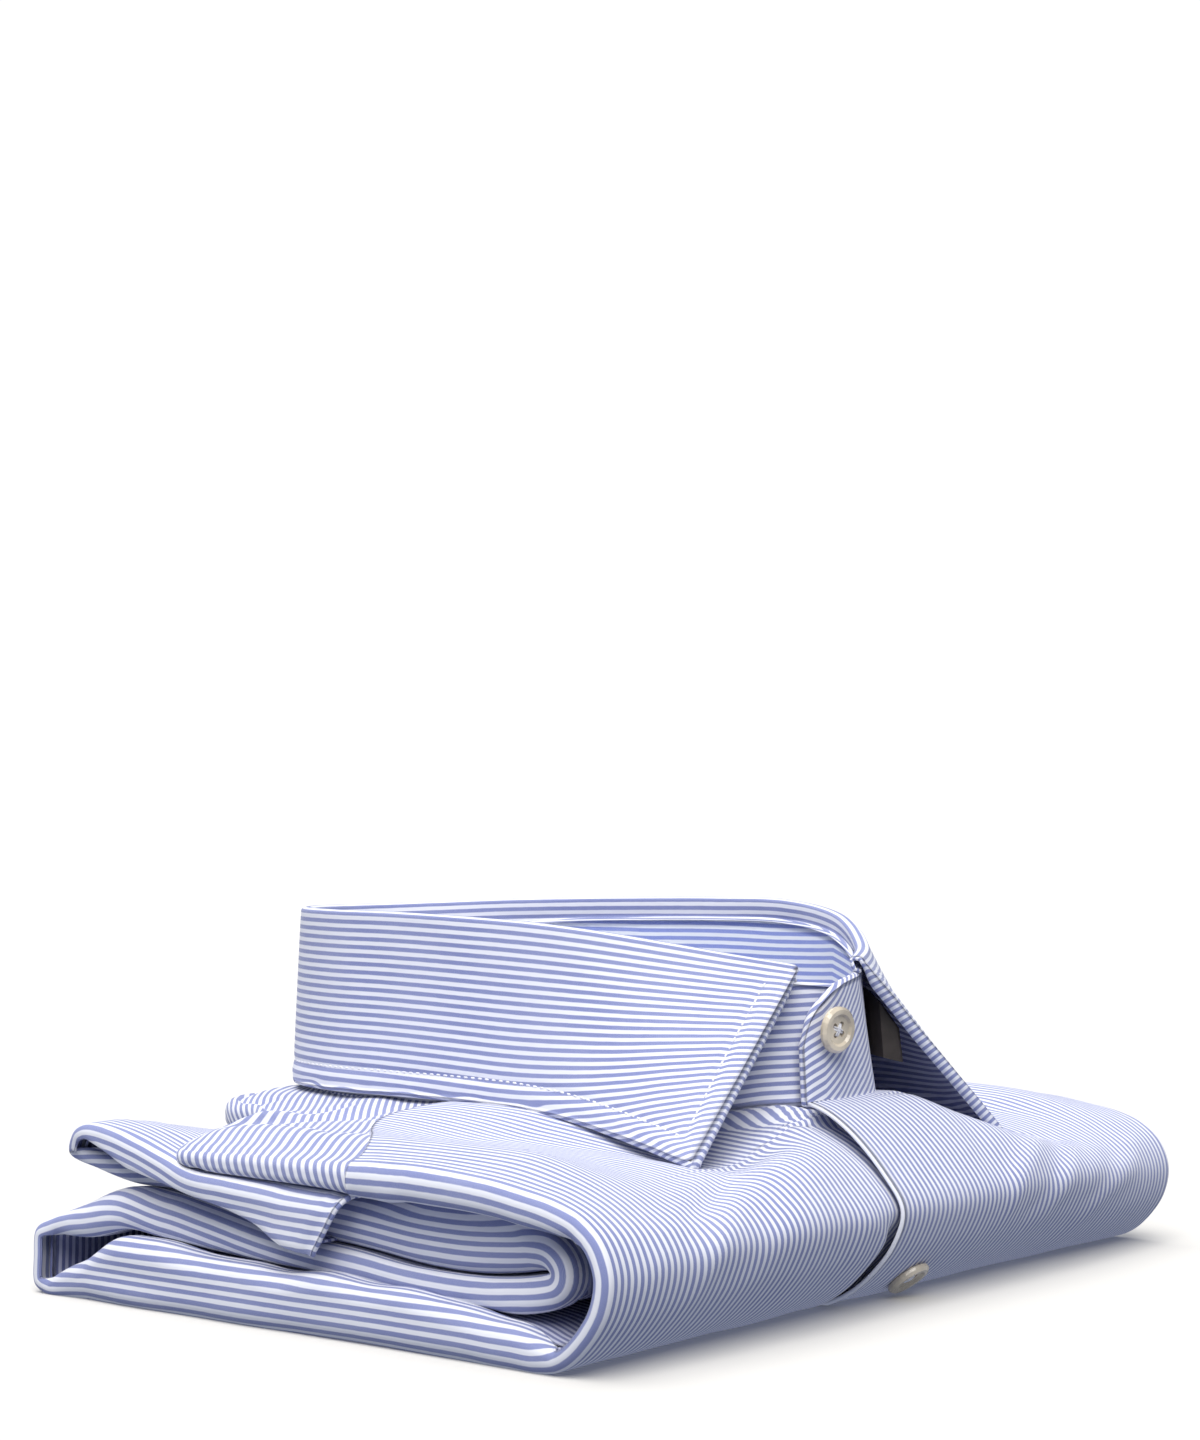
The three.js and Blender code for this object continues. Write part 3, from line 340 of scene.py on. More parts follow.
def shell(name, p, uv, thick, material, facing=1, turned=1.0, rope=0.0, inside=None):
    """A closed shell of cloth under the surface p, its edges rounded.

    The stripes go on over the long edges by turned and slip by rope at the ends."""
    m, k = p.shape[:2]
    normal = grid_normals(p) * facing
    thick = np.broadcast_to(np.asarray(thick, float), (m, k))
    inner = p - normal * thick[..., None]
    ids = np.arange(m * k).reshape(m, k)
    verts = [p.reshape(-1, 3), inner.reshape(-1, 3)]
    uvs = [uv.reshape(-1, 2), uv.reshape(-1, 2)]
    quads = np.stack([ids[:-1, :-1], ids[1:, :-1], ids[1:, 1:], ids[:-1, 1:]], -1).reshape(-1, 4)
    if facing < 0:
        quads = quads[:, ::-1]
    faces = [quads, quads[:, ::-1] + m * k]
    loop = np.concatenate([ids[:-1, 0], ids[-1, :-1], ids[:0:-1, -1], ids[0, :0:-1]])
    flat_p = p.reshape(-1, 3)
    ring_p, ring_n, ring_t = flat_p[loop], normal.reshape(-1, 3)[loop], thick.reshape(-1)[loop]
    along = unit(np.roll(ring_p, -1, 0) - np.roll(ring_p, 1, 0))
    out = unit(np.cross(along, ring_n)) * facing
    i, j = loop // k, loop % k
    one_in = np.clip(i, 1, m - 2) * k + np.clip(j, 1, k - 2)
    outward = np.sign((out * (ring_p - flat_p[one_in])).sum(-1))
    out *= np.where(outward == 0, 1, outward)[:, None]
    over_edge = np.stack([(j == k - 1) * 1.0 - (j == 0), 0 * j], -1)
    at_end = np.isin(i, (0, m - 1))[:, None]
    rings = [loop]
    start = 2 * m * k
    for step in range(1, RIM_STEPS):
        a = math.pi * step / RIM_STEPS
        sunk, spread = ring_t / 2 * (1 - math.cos(a)), ring_t / 2 * math.sin(a)
        verts.append(ring_p - ring_n * sunk[:, None] + out * spread[:, None])
        shift = over_edge * ring_t[:, None] * a / 2 * turned
        uvs.append(uv.reshape(-1, 2)[loop] + shift + at_end * (rope * math.sin(a), 0))
        rings.append(np.arange(start, start + len(loop)))
        start += len(loop)
    rings.append(loop + m * k)
    for low, high in zip(rings[:-1], rings[1:]):
        quad = np.stack([low, high, np.roll(high, -1), np.roll(low, -1)], -1)
        faces.append(quad if facing < 0 else quad[:, ::-1])
    piece = make_mesh(name, *map(np.concatenate, (verts, faces)), material, np.concatenate(uvs))
    if inside:
        piece.data.materials.append(inside)
        indices = np.zeros(len(piece.data.polygons), np.int32)
        indices[len(quads):2 * len(quads)] = 1
        piece.data.polygons.foreach_set("material_index", indices)
    return piece


STROKE_COUNT, STROKE_TAPER = 40, 0.7
SHOULDER, SHOULDER_WIDTH = 0.35, 2.2  # a crease's raised sides, to its depth and width


def creases(p, strokes):
    """Displacement of soft troughs and ridges.  A stroke is (points, width, depth)."""
    flat = p.reshape(-1, 3)
    total = np.zeros(len(flat))
    for points, width, depth in strokes:
        line = Curve(points).at(np.linspace(0, len(points) - 1, STROKE_COUNT))
        near = np.full(len(flat), 1e9)
        share = np.zeros(len(flat))
        for i, q in enumerate(line):
            dist = ((flat - q) ** 2).sum(1)
            closer = dist < near
            near[closer] = dist[closer]
            share[closer] = i / (STROKE_COUNT - 1)
        taper = np.sin(math.pi * np.clip(share, 0.02, 0.98)) ** STROKE_TAPER
        near = np.sqrt(near)
        total += depth * taper * (bell(near, 0, width)
                                  - SHOULDER * bell(near, 0, SHOULDER_WIDTH * width))
    return total.reshape(p.shape[:-1])


# ---- materials ----
MIX_FACTOR, MIX_A, MIX_B, MIX_RESULT = 0, 6, 7, 2  # sockets of a Mix node for colours


class Nodes:
    """A short way to write node trees."""

    def __init__(self, name):
        self.material = bpy.data.materials.new(name)
        self.material.use_nodes = True
        self.tree = self.material.node_tree
        self.tree.nodes.clear()
        self.shader = self.add("ShaderNodeBsdfPrincipled")
        out = self.add("ShaderNodeOutputMaterial")
        self.tree.links.new(self.shader.outputs[0], out.inputs[0])

    def put(self, node, key, value):
        """Link a socket to another node's, or give it a constant."""
        if isinstance(value, bpy.types.NodeSocket):
            self.tree.links.new(value, node.inputs[key])
        else:
            node.inputs[key].default_value = value

    def add(self, kind, inputs=(), **settings):
        node = self.tree.nodes.new(kind)
        for key, value in settings.items():
            setattr(node, key, value)
        for key, value in inputs.items() if isinstance(inputs, dict) else enumerate(inputs):
            self.put(node, key, value)
        return node

    def math(self, operation, *values):
        return self.add("ShaderNodeMath", values, operation=operation).outputs[0]

    def mix(self, factor, a, b):
        inputs = {MIX_FACTOR: factor, MIX_A: a, MIX_B: b}
        return self.add("ShaderNodeMix", inputs, data_type="RGBA").outputs[MIX_RESULT]

    def noise(self, scale, detail, **vector):
        vector.update(Scale=scale, Detail=detail)
        return self.add("ShaderNodeTexNoise", vector).outputs[0]

    def ramp(self, value, low, high, to_low=0.0, to_high=1.0):
        inputs = (value, low, high, to_low, to_high)
        return self.add("ShaderNodeMapRange", inputs, interpolation_type="SMOOTHSTEP").outputs[0]

    def bump(self, height, strength, distance):
        inputs = {"Height": height, "Strength": strength, "Distance": distance}
        return self.add("ShaderNodeBump", inputs).outputs[0]

    def set(self, **values):
        for key, value in values.items():
            self.put(self.shader, key.replace("_", " "), value)


WHITE = (0.79, 0.80, 0.86, 1)
BLUE = (0.135, 0.170, 0.415, 1)
CLOUD = (0.62, 0.64, 0.76, 1)  # the cloth's faint unevenness runs to this colour
CLOUD_SCALE, CLOUD_SHARE = 45.0, 0.10
STRIPE_EDGE = (0.19, 0.30)  # shares of the repeat between which white turns to blue
FRAY_ACROSS, FRAY_ALONG = 2.2, 0.22
FRAY_REACH = 0.16
THREADS = 4.6  # warp threads to a millimetre
WEFT_SHARE = 0.85
FUZZ_SCALE = 2600.0
WEAVE_BUMP = (0.35, 0.00005)  # strength and distance


def poplin(name, phase=0.0, white=WHITE, blue=BLUE):
    """Striped poplin.  u of the cloth map runs across the stripes, in millimetres."""
    n = Nodes(name)
    uv = n.add("ShaderNodeUVMap", uv_map="cloth").outputs[0]
    split = n.add("ShaderNodeSeparateXYZ", (uv,))
    u, v = split.outputs[0], split.outputs[1]
    long_grain = (n.math("MULTIPLY", u, FRAY_ACROSS), n.math("MULTIPLY", v, FRAY_ALONG), 0.0)
    fray = n.noise(1.0, 2.0, Vector=n.add("ShaderNodeCombineXYZ", long_grain).outputs[0])
    across = n.math("ADD", u, n.math("MULTIPLY", n.math("SUBTRACT", fray, 0.5), FRAY_REACH))
    turns = n.math("DIVIDE", n.math("ADD", across, phase), STRIPE)
    stripe = n.ramp(n.math("PINGPONG", turns, 0.5), *STRIPE_EDGE)
    # weave: warp threads across u, weft threads across v
    warp = n.math("SINE", n.math("MULTIPLY", u, 2 * math.pi * THREADS))
    weft = n.math("SINE", n.math("MULTIPLY", v, 2 * math.pi * THREADS * WEFT_SHARE))
    cross = n.math("MULTIPLY", warp, weft)
    speckle = n.ramp(cross, -0.6, 0.6, 0.72, 1.0)
    colour = n.mix(n.math("MULTIPLY", stripe, speckle), white, blue)
    place = n.add("ShaderNodeTexCoord").outputs["Object"]
    cloud = n.noise(CLOUD_SCALE, 3.0, Vector=place)
    colour = n.mix(n.ramp(cloud, 0.3, 0.7, 0.0, CLOUD_SHARE), colour, CLOUD)
    fuzz = n.math("MULTIPLY", n.noise(FUZZ_SCALE, 2.0, Vector=place), 0.5)
    height = n.math("ADD", n.math("MULTIPLY", n.math("ABSOLUTE", cross), 0.6), fuzz)
    n.set(Base_Color=colour, Normal=n.bump(height, *WEAVE_BUMP), Roughness=0.82,
          Specular_IOR_Level=0.25, Sheen_Weight=0.25, Sheen_Roughness=0.45)
    return n.material


PLAIN_BUMP = (0.4, 0.00003)


def plain(name, colour, roughness, speckle_scale, speckle=0.15, coat=0.0, ior=0.4):
    """One colour with a fine speckle."""
    n = Nodes(name)
    noise = n.noise(speckle_scale, 5.0, Vector=n.add("ShaderNodeTexCoord").outputs["Object"])
    dark = tuple(c * (1 - speckle) for c in colour) + (1,)
    light = tuple(min(1, c * (1 + speckle)) for c in colour) + (1,)
    n.set(Base_Color=n.mix(n.ramp(noise, 0.3, 0.7), dark, light), Roughness=roughness,
          Normal=n.bump(noise, *PLAIN_BUMP), Coat_Weight=coat, Coat_Roughness=0.08,
          Specular_IOR_Level=ior)
    return n.material


cloth_front = poplin("poplin_front", 0.1)
cloth_yoke = poplin("poplin_yoke")
cloth_collar = poplin("poplin_collar", 1.2)
# a darker copy of the poplin: painted shade for the hollows where the folded back shows
cloth_inside_painted_shade = poplin("poplin_inside_painted_shade", 0.9, (0.62, 0.64, 0.80, 1), (0.08, 0.10, 0.32, 1))
# a lighter, bluer copy of the poplin: painted light on the stand's inner faces
cloth_neck_painted_light = poplin("poplin_neck_painted_light", 1.2, (0.92, 0.96, 1.0, 1), (0.19, 0.26, 0.68, 1))
# a darker copy of the poplin: painted shade on the collar leaf's underside
cloth_under_painted_shade = poplin("poplin_under_painted_shade", 1.2, (0.56, 0.58, 0.76, 1), (0.08, 0.10, 0.34, 1))
thread = plain("thread", (0.80, 0.80, 0.84), 0.6, 900)
horn = plain("button_horn", (0.56, 0.49, 0.38), 0.26, 140, 0.25, coat=0.6, ior=0.5)
# the card's own dark brown, made near-black as painted shade under the collar leaf
card = plain("card", (0.030, 0.024, 0.022), 0.6, 300, 0.2)

# ---- fronts: sections along the strip ----
ROW_PITCH = 1.7  # distance between sections
TURN_REACH = 7.0  # extra sections where the way turns, as for an arc this far out
fine_rows = np.linspace(0, LAST_ROW, 4000)
d_line, z_line = way(fine_rows, 60.0)
line_length = flat_run(d_line, z_line)
STRIP_LENGTH = float(line_length[-1])
turning = np.abs(np.diff(np.unwrap(np.arctan2(np.gradient(z_line), np.gradient(d_line)))))
effort = np.concatenate([[0], np.diff(line_length) + turning * TURN_REACH]).cumsum()
stops = np.append(np.arange(0, effort[-1], ROW_PITCH), effort[-1])
section_lengths = np.interp(stops, effort, line_length)


def row_at(length):
    return np.interp(length, line_length, fine_rows)


# ---- fronts: how they leave the plain strip ----
PANEL_COUNT = 72  # points across a front before its wrap
NOSE_END = 190.0  # along the strip, where it lies on the floor
HEM_DEPTH = 5.0
LAYER_RECESS = 4.5  # the inner layers' sides lie this much deeper than their solids'
RECESS_FROM, RECESS_TO = (22.5, 25), (43.5, 46.5)  # rows where the recess starts and ends
SIGHT_SLOPE = 0.8  # and this share of it further back
SLOPE_ZONE = (50, 100)
WRAP_UNEVEN, UNEVEN_SIZE = 0.07, 13  # the wraps' depth varies by this share, over this length
BARE_ROWS = (45, 48)  # the tail's wrap opens into a bare edge
PUFF_RISE, PUFF_PLACE, PUFF_WIDTH = 3.6, 104.0, 14.0  # the roll along the packet's side
PUFF_ROWS = (1.5, 5.4)
NECK_DROP = 3.4  # how far the right front drops beside the band's foot
DROP_NEAR, DROP_FAR = (0.4, 5), (12, 40)  # from the neckline
DROP_FROM, DROP_TO = (0.5, 2.5), (4.4, 6.6)  # rows
LAP_DEPTH = (1.9, 4.4)  # the right front's drop under the left one, in general and at the nose
LAP_FROM, LAP_TO = (7, 9), (10, 11)  # the nose's rows
LAP_STEP, LAP_EDGE = 0.7, (19.3, 23.5)  # what the drop loses beside the left front
LAP_FADE, LAP_FADE_MORE = 24, 26  # the drop's end, and how much further it goes on the chest
WIDE_RIPPLE, FINE_RIPPLE = (0.25, 26, 40), (0.14, 11, 23)
LAYER_RIPPLE = (0.32, 5, 19)  # finer crumples on the layers inside the nose
neck_rows = np.linspace(0, 7, 400)  # of the neckline, as far back as the chest goes
neck_points = neckline.at(neck_rows)


def layer_recess(row):
    return LAYER_RECESS * smooth(row, *RECESS_FROM) * (1 - smooth(row, *RECESS_TO))


def under_band(row):
    """How far in the band's right half lies, to go under the left one's end."""
    return UNDER_BAND * (1 - smooth(row, 1.5, 4.5))


def inner_edge(row, lap, side):
    """Where a front starts: at its lap's edge, or at the neckline beside the neck."""
    d = float(way(row, 0.0)[0])
    if row < NOSE_TOP_ROW and d > NECK_FRONT_D:
        ring = float(np.interp(d, neck_points[:, 1], neck_rows))
        half = float(np.interp(d, neck_points[:, 1], neck_points[:, 0])) - BAND
        return max(-lap, half - (float(under_band(ring)) if side < 0 else 0))
    return -lap


def neck_drop(row, x, d):
    """The right front's drop at points near the neckline."""
    gap = np.sqrt(((np.stack([x, d], -1)[:, None] - neck_points[None]) ** 2).sum(-1)).min(1)
    return (NECK_DROP * smooth(gap, *DROP_NEAR) * (1 - smooth(gap, *DROP_FAR))
            * smooth(row, *DROP_FROM) * (1 - smooth(row, *DROP_TO)))


def lap_drop(row, x):
    """The right front's drop under the left one and beside it."""
    nose = smooth(row, *LAP_FROM) * (1 - smooth(row, *LAP_TO))
    sunk = lerp(*LAP_DEPTH, nose) - LAP_STEP * smooth(x, *LAP_EDGE)
    end = LAP_FADE + LAP_FADE_MORE * (1 - smooth(row, 6, 8))
    return sunk * (1 - smooth(x, LAP_EDGE[0], end))


def front_panel(name, side, lap, strokes, seed):
    """One front, and the line of its hem's stitches with normals."""
    grid, uv = [], []
    for length in section_lengths:
        row = float(row_at(length))
        deep, lip, inset = wrap_shape.at(row)
        uneven = float(value_noise(length / UNEVEN_SIZE, side * 3.0, seed + 2))
        deep = max(deep, LEAST_WRAP) * (1 + WRAP_UNEVEN * uneven)
        recess = layer_recess(row)
        out = HALF_WIDTH - inset - recess
        x, n, arc = wrap_section(inner_edge(row, lap, side), out, deep, max(lip, 0.0),
                                 PANEL_COUNT, turned=1 - smooth(row, *BARE_ROWS))
        p = strip_point(row, x, n + (lap_drop(row, x) if side < 0 else 0), side)
        p[:, 1] += HEM_RAKE * smooth(row, LAST_ROW - 3, LAST_ROW) * n / deep
        p[:, 1] += SIGHT_SLOPE * recess * smooth(x, *SLOPE_ZONE)
        if side < 0 and row < DROP_TO[1]:
            p[:, 2] -= neck_drop(row, x, p[:, 1] - CORNER_Y)
        puff = PUFF_RISE * (1 - smooth(row, *PUFF_ROWS))
        p[:, 2] += puff * bell(x, PUFF_PLACE, PUFF_WIDTH) * (1 - smooth(n, 0.5, deep))
        grid.append(p)
        uv.append(np.stack([arc, np.full_like(arc, length)], -1))
    grid, uv = np.array(grid), np.array(uv)
    normal = grid_normals(grid) * -side
    x, length = uv[..., 0], uv[..., 1]
    to_hem = STRIP_LENGTH - length
    ripple = ripples(x, length, WIDE_RIPPLE, seed) + ripples(x, length, FINE_RIPPLE, seed + 1)
    ripple += smooth(length, NOSE_END, NOSE_END + 40) * ripples(x, length, LAYER_RIPPLE, seed + 3)
    at_start = smooth(length, 0, 12)
    ripple *= at_start * smooth(to_hem, 0, 8)
    ripple += 0.45 * bell(to_hem, 2.4, 2.2) - 0.35 * bell(to_hem, HEM_DEPTH, 0.9)
    grid = grid + normal * (ripple + creases(grid, strokes) * at_start)[..., None]
    thick = CLOTH + 0.35 * bell(x - x[:, :1], 0, 1.6) + 0.6 * bell(to_hem, 0, 2.5)
    piece = shell(name, grid, uv, thick, cloth_front, facing=-side, turned=0)
    first, last = PANEL_COUNT + 4, grid.shape[1] - 2
    hem = [[np.interp(STRIP_LENGTH - HEM_DEPTH, length[:, j], grid[:, j, k]) for k in range(3)]
           for j in range(first, last)]
    return piece, (np.array(hem), normal[-4, first:last])


# Creases: (row, x) places on the strip, width and depth.  A depth above 0 is a ridge.
LAYER_CREASE = ([(36.6, 116), (38.4, 117), (40.2, 117)], 3, -0.7)
RIGHT_CREASES = [
    ([(3.9, 62), (4.8, 78), (6, 100), (7.2, 112)], 3.4, -1.1),
    ([(4.6, 70), (5.6, 92), (6.8, 110)], 3.6, 0.9),
    ([(5.2, 66), (6.2, 82), (7.1, 91), (8.6, 97)], 3.2, -0.9),
    ([(5.6, 56), (6.9, 74), (8.2, 84)], 4, 0.6),
    ([(1.6, 8), (3, 17), (3.9, 27), (4.6, 31)], 4.2, -1.5),
    ([(2.2, 26), (3.4, 36), (4.6, 44)], 4.6, 0.7),
    ([(0.3, 78), (1.4, 92), (2.6, 106)], 6, -0.8),
    ([(0.6, 58), (1.8, 72), (3, 84)], 7, 0.6),
    ([(6.6, 30), (7.6, 34), (8.8, 31)], 5, -0.5),
    ([(24.4, 118), (26.5, 119), (28.5, 120)], 3, -0.6),
    LAYER_CREASE,
]
LEFT_CREASES = [
    ([(5.2, 66), (6, 52), (6.9, 36), (8.2, 31)], 3.2, -1.2),
    ([(5.4, 76), (6.4, 62), (7.6, 46), (8.6, 42)], 3.4, 0.8),
    ([(5.3, 84), (5.9, 73), (7.4, 58), (8.5, 52)], 3, -0.7),
    ([(5.6, 112), (6.6, 101), (7.8, 83), (8.9, 77)], 3.6, -0.75),
    ([(5.4, 100), (6.8, 88), (8, 70)], 3.8, 0.5),
    ([(4.4, 34), (5.6, 30), (7, 24)], 4.5, 0.5),
    ([(1.5, 80), (2.6, 96), (3.6, 108)], 6, -0.7),
    ([(0.4, 60), (1.6, 74), (3, 88)], 6.5, 0.6),
    LAYER_CREASE,
]


def on_strip(side, strokes):
    """The strokes with their places turned into points."""
    return [([tuple(strip_point(row, x, 0, side)) for row, x in places], width, depth)
            for places, width, depth in strokes]


front_right, right_hem = front_panel(
    "front_right_cloth", -1, UNDERLAP, on_strip(-1, RIGHT_CREASES), 11)
front_left, left_hem = front_panel(
    "front_left_cloth", 1, PLACKET_EDGE, on_strip(1, LEFT_CREASES), 29)

# ---- hidden back: the strip's other face, seen in the hollows ----
BACK_ROWS = (10.6, LAST_ROW - 1)
BACK_SECTIONS = 260
BACK_EDGE = 119.0  # of the back's own places, which shrink with the packet's width
BACK_INSET = 4.0
BACK_LEAST, BACK_ABOVE = 2.6, 0.9  # least depth of the wraps it fills, and its lie above it


def inner_layers():
    """The back's cloth follows the strip at the wraps' depth."""
    lengths = np.linspace(*(float(np.interp(r, fine_rows, line_length)) for r in BACK_ROWS),
                          BACK_SECTIONS)
    outer = np.linspace(70, BACK_EDGE, 26)
    xs = np.concatenate([-outer[::-1], np.linspace(-60, 60, 9), outer])
    grid, uv = [], []
    for length in lengths:
        row = float(row_at(length))
        deep, lip, inset = wrap_shape.at(row)
        n = max(deep, BACK_LEAST) - BACK_ABOVE
        recess = layer_recess(row)
        reach = (HALF_WIDTH - inset - recess - BACK_INSET) / BACK_EDGE
        line = np.array([strip_point(row, abs(x) * reach, n, 1 if x > 0 else -1) for x in xs])
        line[:, 1] += SIGHT_SLOPE * recess * smooth(np.abs(xs), *SLOPE_ZONE)
        grid.append(line)
        uv.append(np.stack([xs * reach, np.full_like(xs, length)], -1))
    # the back wears the darker poplin copy, painted shade in the hollows
    return shell("folded_back_cloth", np.array(grid), np.array(uv), CLOTH, cloth_inside_painted_shade)


folded_back = inner_layers()

# ---- yoke ----
yoke_neck, yoke_outline, yoke_shape = Curve(YOKE, 0, 1), Curve(YOKE, 1, 4), Curve(YOKE, 4)
YOKE_FLAT = 56  # points across the yoke before its wrap
YOKE_SECTIONS = 190
EDGE_CROWDING = 1.15  # points lie closer together near the neck
NECK_RISE = 0.55  # how fast the yoke comes down from the neck
NECK_DIP, DIP_PLACE, DIP_WIDTH = 1.2, 24, 10
DIP_ROWS = (0.3, 1.2)
WRAP_ROOM = 20.0
SEAM_LAP = 1.3  # the yoke's front edge lies this far over the fronts
STRIPE_STRETCH = 1.2  # of the repeat on the yoke
WALL_DRIFT = 0.05
yoke_rows = np.linspace(0, len(YOKE) - 1, YOKE_SECTIONS)
# The soft roll along the yoke's outer edge: its rise, its place in from the edge and its width.
ROLL = [
    (3.6, 21, 14), (4.2, 19, 13), (4.6, 16, 12), (4.6, 15, 11), (3.4, 13, 10), (2.2, 13, 10),
    (2.0, 12, 9), (1.6, 11, 8), (1.0, 8, 6), (0.8, 7, 6), (1.0, 8, 6), (1.2, 8, 6), (1.0, 7, 6),
    (0.8, 7, 6),
]
roll_shape = Curve(ROLL)
# The yoke's stripes run in from the packet's side and back, more so nearer to the collar.
drift_in = np.linspace(0, 126, 200)
drift = 0.25 + 0.30 * smooth(drift_in, 0, 9) + 0.28 * smooth(drift_in, 26, 60)
drift = (drift * (1 - smooth(drift_in, 80, 122))).cumsum() * drift_in[1]


def inwards(p, distance):
    """A point moved towards the middle of the neck opening."""
    p = np.array(p, float)
    p[:2] += unit((0, min(max(p[1], 45), 148)) - p[:2]) * distance
    return p


def yoke_span(row):
    """Inner end, outer end, rim, way out, wrap and follow at a row of the outline."""
    rim = yoke_outline.at(row)
    neck = neckline.at(float(yoke_neck.at(row)[0]))
    ahead = yoke_outline.at(min(row + 0.05, len(YOKE) - 1)) - yoke_outline.at(max(row - 0.05, 0))
    away = unit(np.array([ahead[1], -ahead[0]]))
    if away[0] < 0 and row < 9:
        away = -away
    start = inwards((*neck, 0), BAND)
    start[2] = BACK_NECK_Z
    deep, lip, follow = yoke_shape.at(row)
    wrap = wrap_section(0, WRAP_ROOM, max(deep, LEAST_WRAP), max(lip, 0), YOKE_FLAT)
    end = rim.copy()
    end[:2] -= away * (WRAP_ROOM - wrap[0][YOKE_FLAT - 1])
    return start, end, rim, away, wrap, min(max(follow, 0), 1)


first_start, first_end = yoke_span(0.0)[:2]


def yoke_half(side):
    """Points and cloth map of one half, from its front edge to the middle of the back."""
    grid, uv = [], []
    flat_share = np.linspace(0, 1, YOKE_FLAT)[:-1] ** EDGE_CROWDING
    wrapped = slice(YOKE_FLAT - 1, None)
    for row in yoke_rows:
        start, end, rim, away, (x, n, arc), follow = yoke_span(row)
        flat = start + (end - start) * flat_share[:, None]
        span = np.linalg.norm((end - start)[:2])
        roll, place, width = roll_shape.at(row)
        flat[:, 2] = lerp(start[2], rim[2], flat_share ** NECK_RISE) \
            + roll * bell((1 - flat_share) * span, place, width)
        flat[:, 2] -= NECK_DIP * smooth(row, *DIP_ROWS) \
            * bell(flat_share * span, DIP_PLACE, DIP_WIDTH)
        wall = rim + np.concatenate([away, [0]]) * (x[wrapped] - WRAP_ROOM)[:, None]
        p = np.concatenate([flat, wall])
        depth = np.concatenate([0 * flat_share, n[wrapped]])
        beyond = np.concatenate([0 * flat_share, arc[wrapped] - arc[YOKE_FLAT - 1]])
        seam = strip_point(0, p[:, 0], depth, 1)
        slant = (p[:, 0] - first_start[0]) / (first_end[0] - first_start[0])
        straight = lerp(first_start[1], first_end[1], slant)
        straight[wrapped] = first_end[1]
        y = p[:, 1] + follow * (seam[:, 1] - CORNER_Y - SEAM_LAP - straight)
        from_side = HALF_WIDTH - p[:, 0]
        rolled = roll * bell(from_side, place, width) * (1 - smooth(depth, 0.5, 5))
        z = lerp(p[:, 2] - depth, seam[:, 2] + rolled, follow)
        grid.append(np.stack([side * p[:, 0], y + CORNER_Y, z], -1))
        across = y.copy()
        across[wrapped] = y[YOKE_FLAT - 1] + beyond[wrapped] * away[1]
        across += WALL_DRIFT * beyond ** 2 - np.interp(from_side, drift_in, drift)
        uv.append(np.stack([across / STRIPE_STRETCH, side * (p[:, 0] + beyond)], -1))
    return np.array(grid), np.array(uv)


YOKE_CREASES = [
    ([(-44, 27, 43), (-62, 34, 42), (-84, 37, 42), (-104, 34, 41)], 2.6, -1.5),
    ([(-46, 44, 42), (-60, 48, 41), (-76, 50, 40)], 2.8, -1.2),
    ([(-50, 20, 42), (-70, 12, 43), (-98, 2, 43), (-122, -4, 39)], 3.2, -0.9),
    ([(-60, 8, 43), (-84, -4, 43), (-110, -12, 41)], 3.4, 0.6),
    ([(-44, 74, 42), (-50, 84, 41), (-46, 92, 40)], 3, -0.9),
    ([(50, 40, 42), (66, 42, 41), (88, 40, 40)], 3, -1.3),
    ([(46, 24, 42), (68, 28, 42), (96, 26, 42)], 3.2, -1),
    ([(52, 10, 43), (80, 2, 43), (114, -2, 41)], 3.4, 0.7),
    ([(-20, 98, 43), (-4, 101, 42), (16, 99, 42)], 3.6, -0.8),
]
SEAM_RIDGE, SEAM_WIDTH = 0.38, 0.35


def make_yoke():
    """Both halves in one, with creases and a ridge at the front seam."""
    halves = zip(yoke_half(-1), yoke_half(1))
    grid, uv = (np.concatenate([right, left[::-1][1:]]) for right, left in halves)
    normal = grid_normals(grid)
    up = 1 if normal[20, 10, 2] > 0 else -1
    from_seam = np.concatenate([yoke_rows, yoke_rows[::-1][1:]])[:, None]
    lift = creases(grid, YOKE_CREASES)
    lift += ripples(grid[..., 0], grid[..., 1], (0.25, 18, 14), 5)
    lift = lift * smooth(from_seam, 0, 0.7) + SEAM_RIDGE * bell(from_seam, 0, SEAM_WIDTH)
    grid = grid + normal * up * lift[..., None]
    return shell("yoke_cloth", grid, uv, CLOTH, cloth_yoke, facing=up)


yoke = make_yoke()

# ---- yoke's lining: it closes the neck behind the packet and lies on the tail ----
LINING_ROW = 8.6  # of the neckline, where the lining's sides start
LINING_HALF, LINING_END = 36.8, 116.0
LINING_ABOVE = 2.3  # the tail's face
LINING_DROP = 0.65  # share of the way over which it comes down from the neck
LINING_RIPPLE = (0.3, 12, 9)
TAIL_TOP = [
    (110, 33.0), (119, 33.8), (129, 34.4), (138, 35.2), (147.6, 35.9), (151.8, 35.0),
    (156, 33.8), (181, 33.5),
]


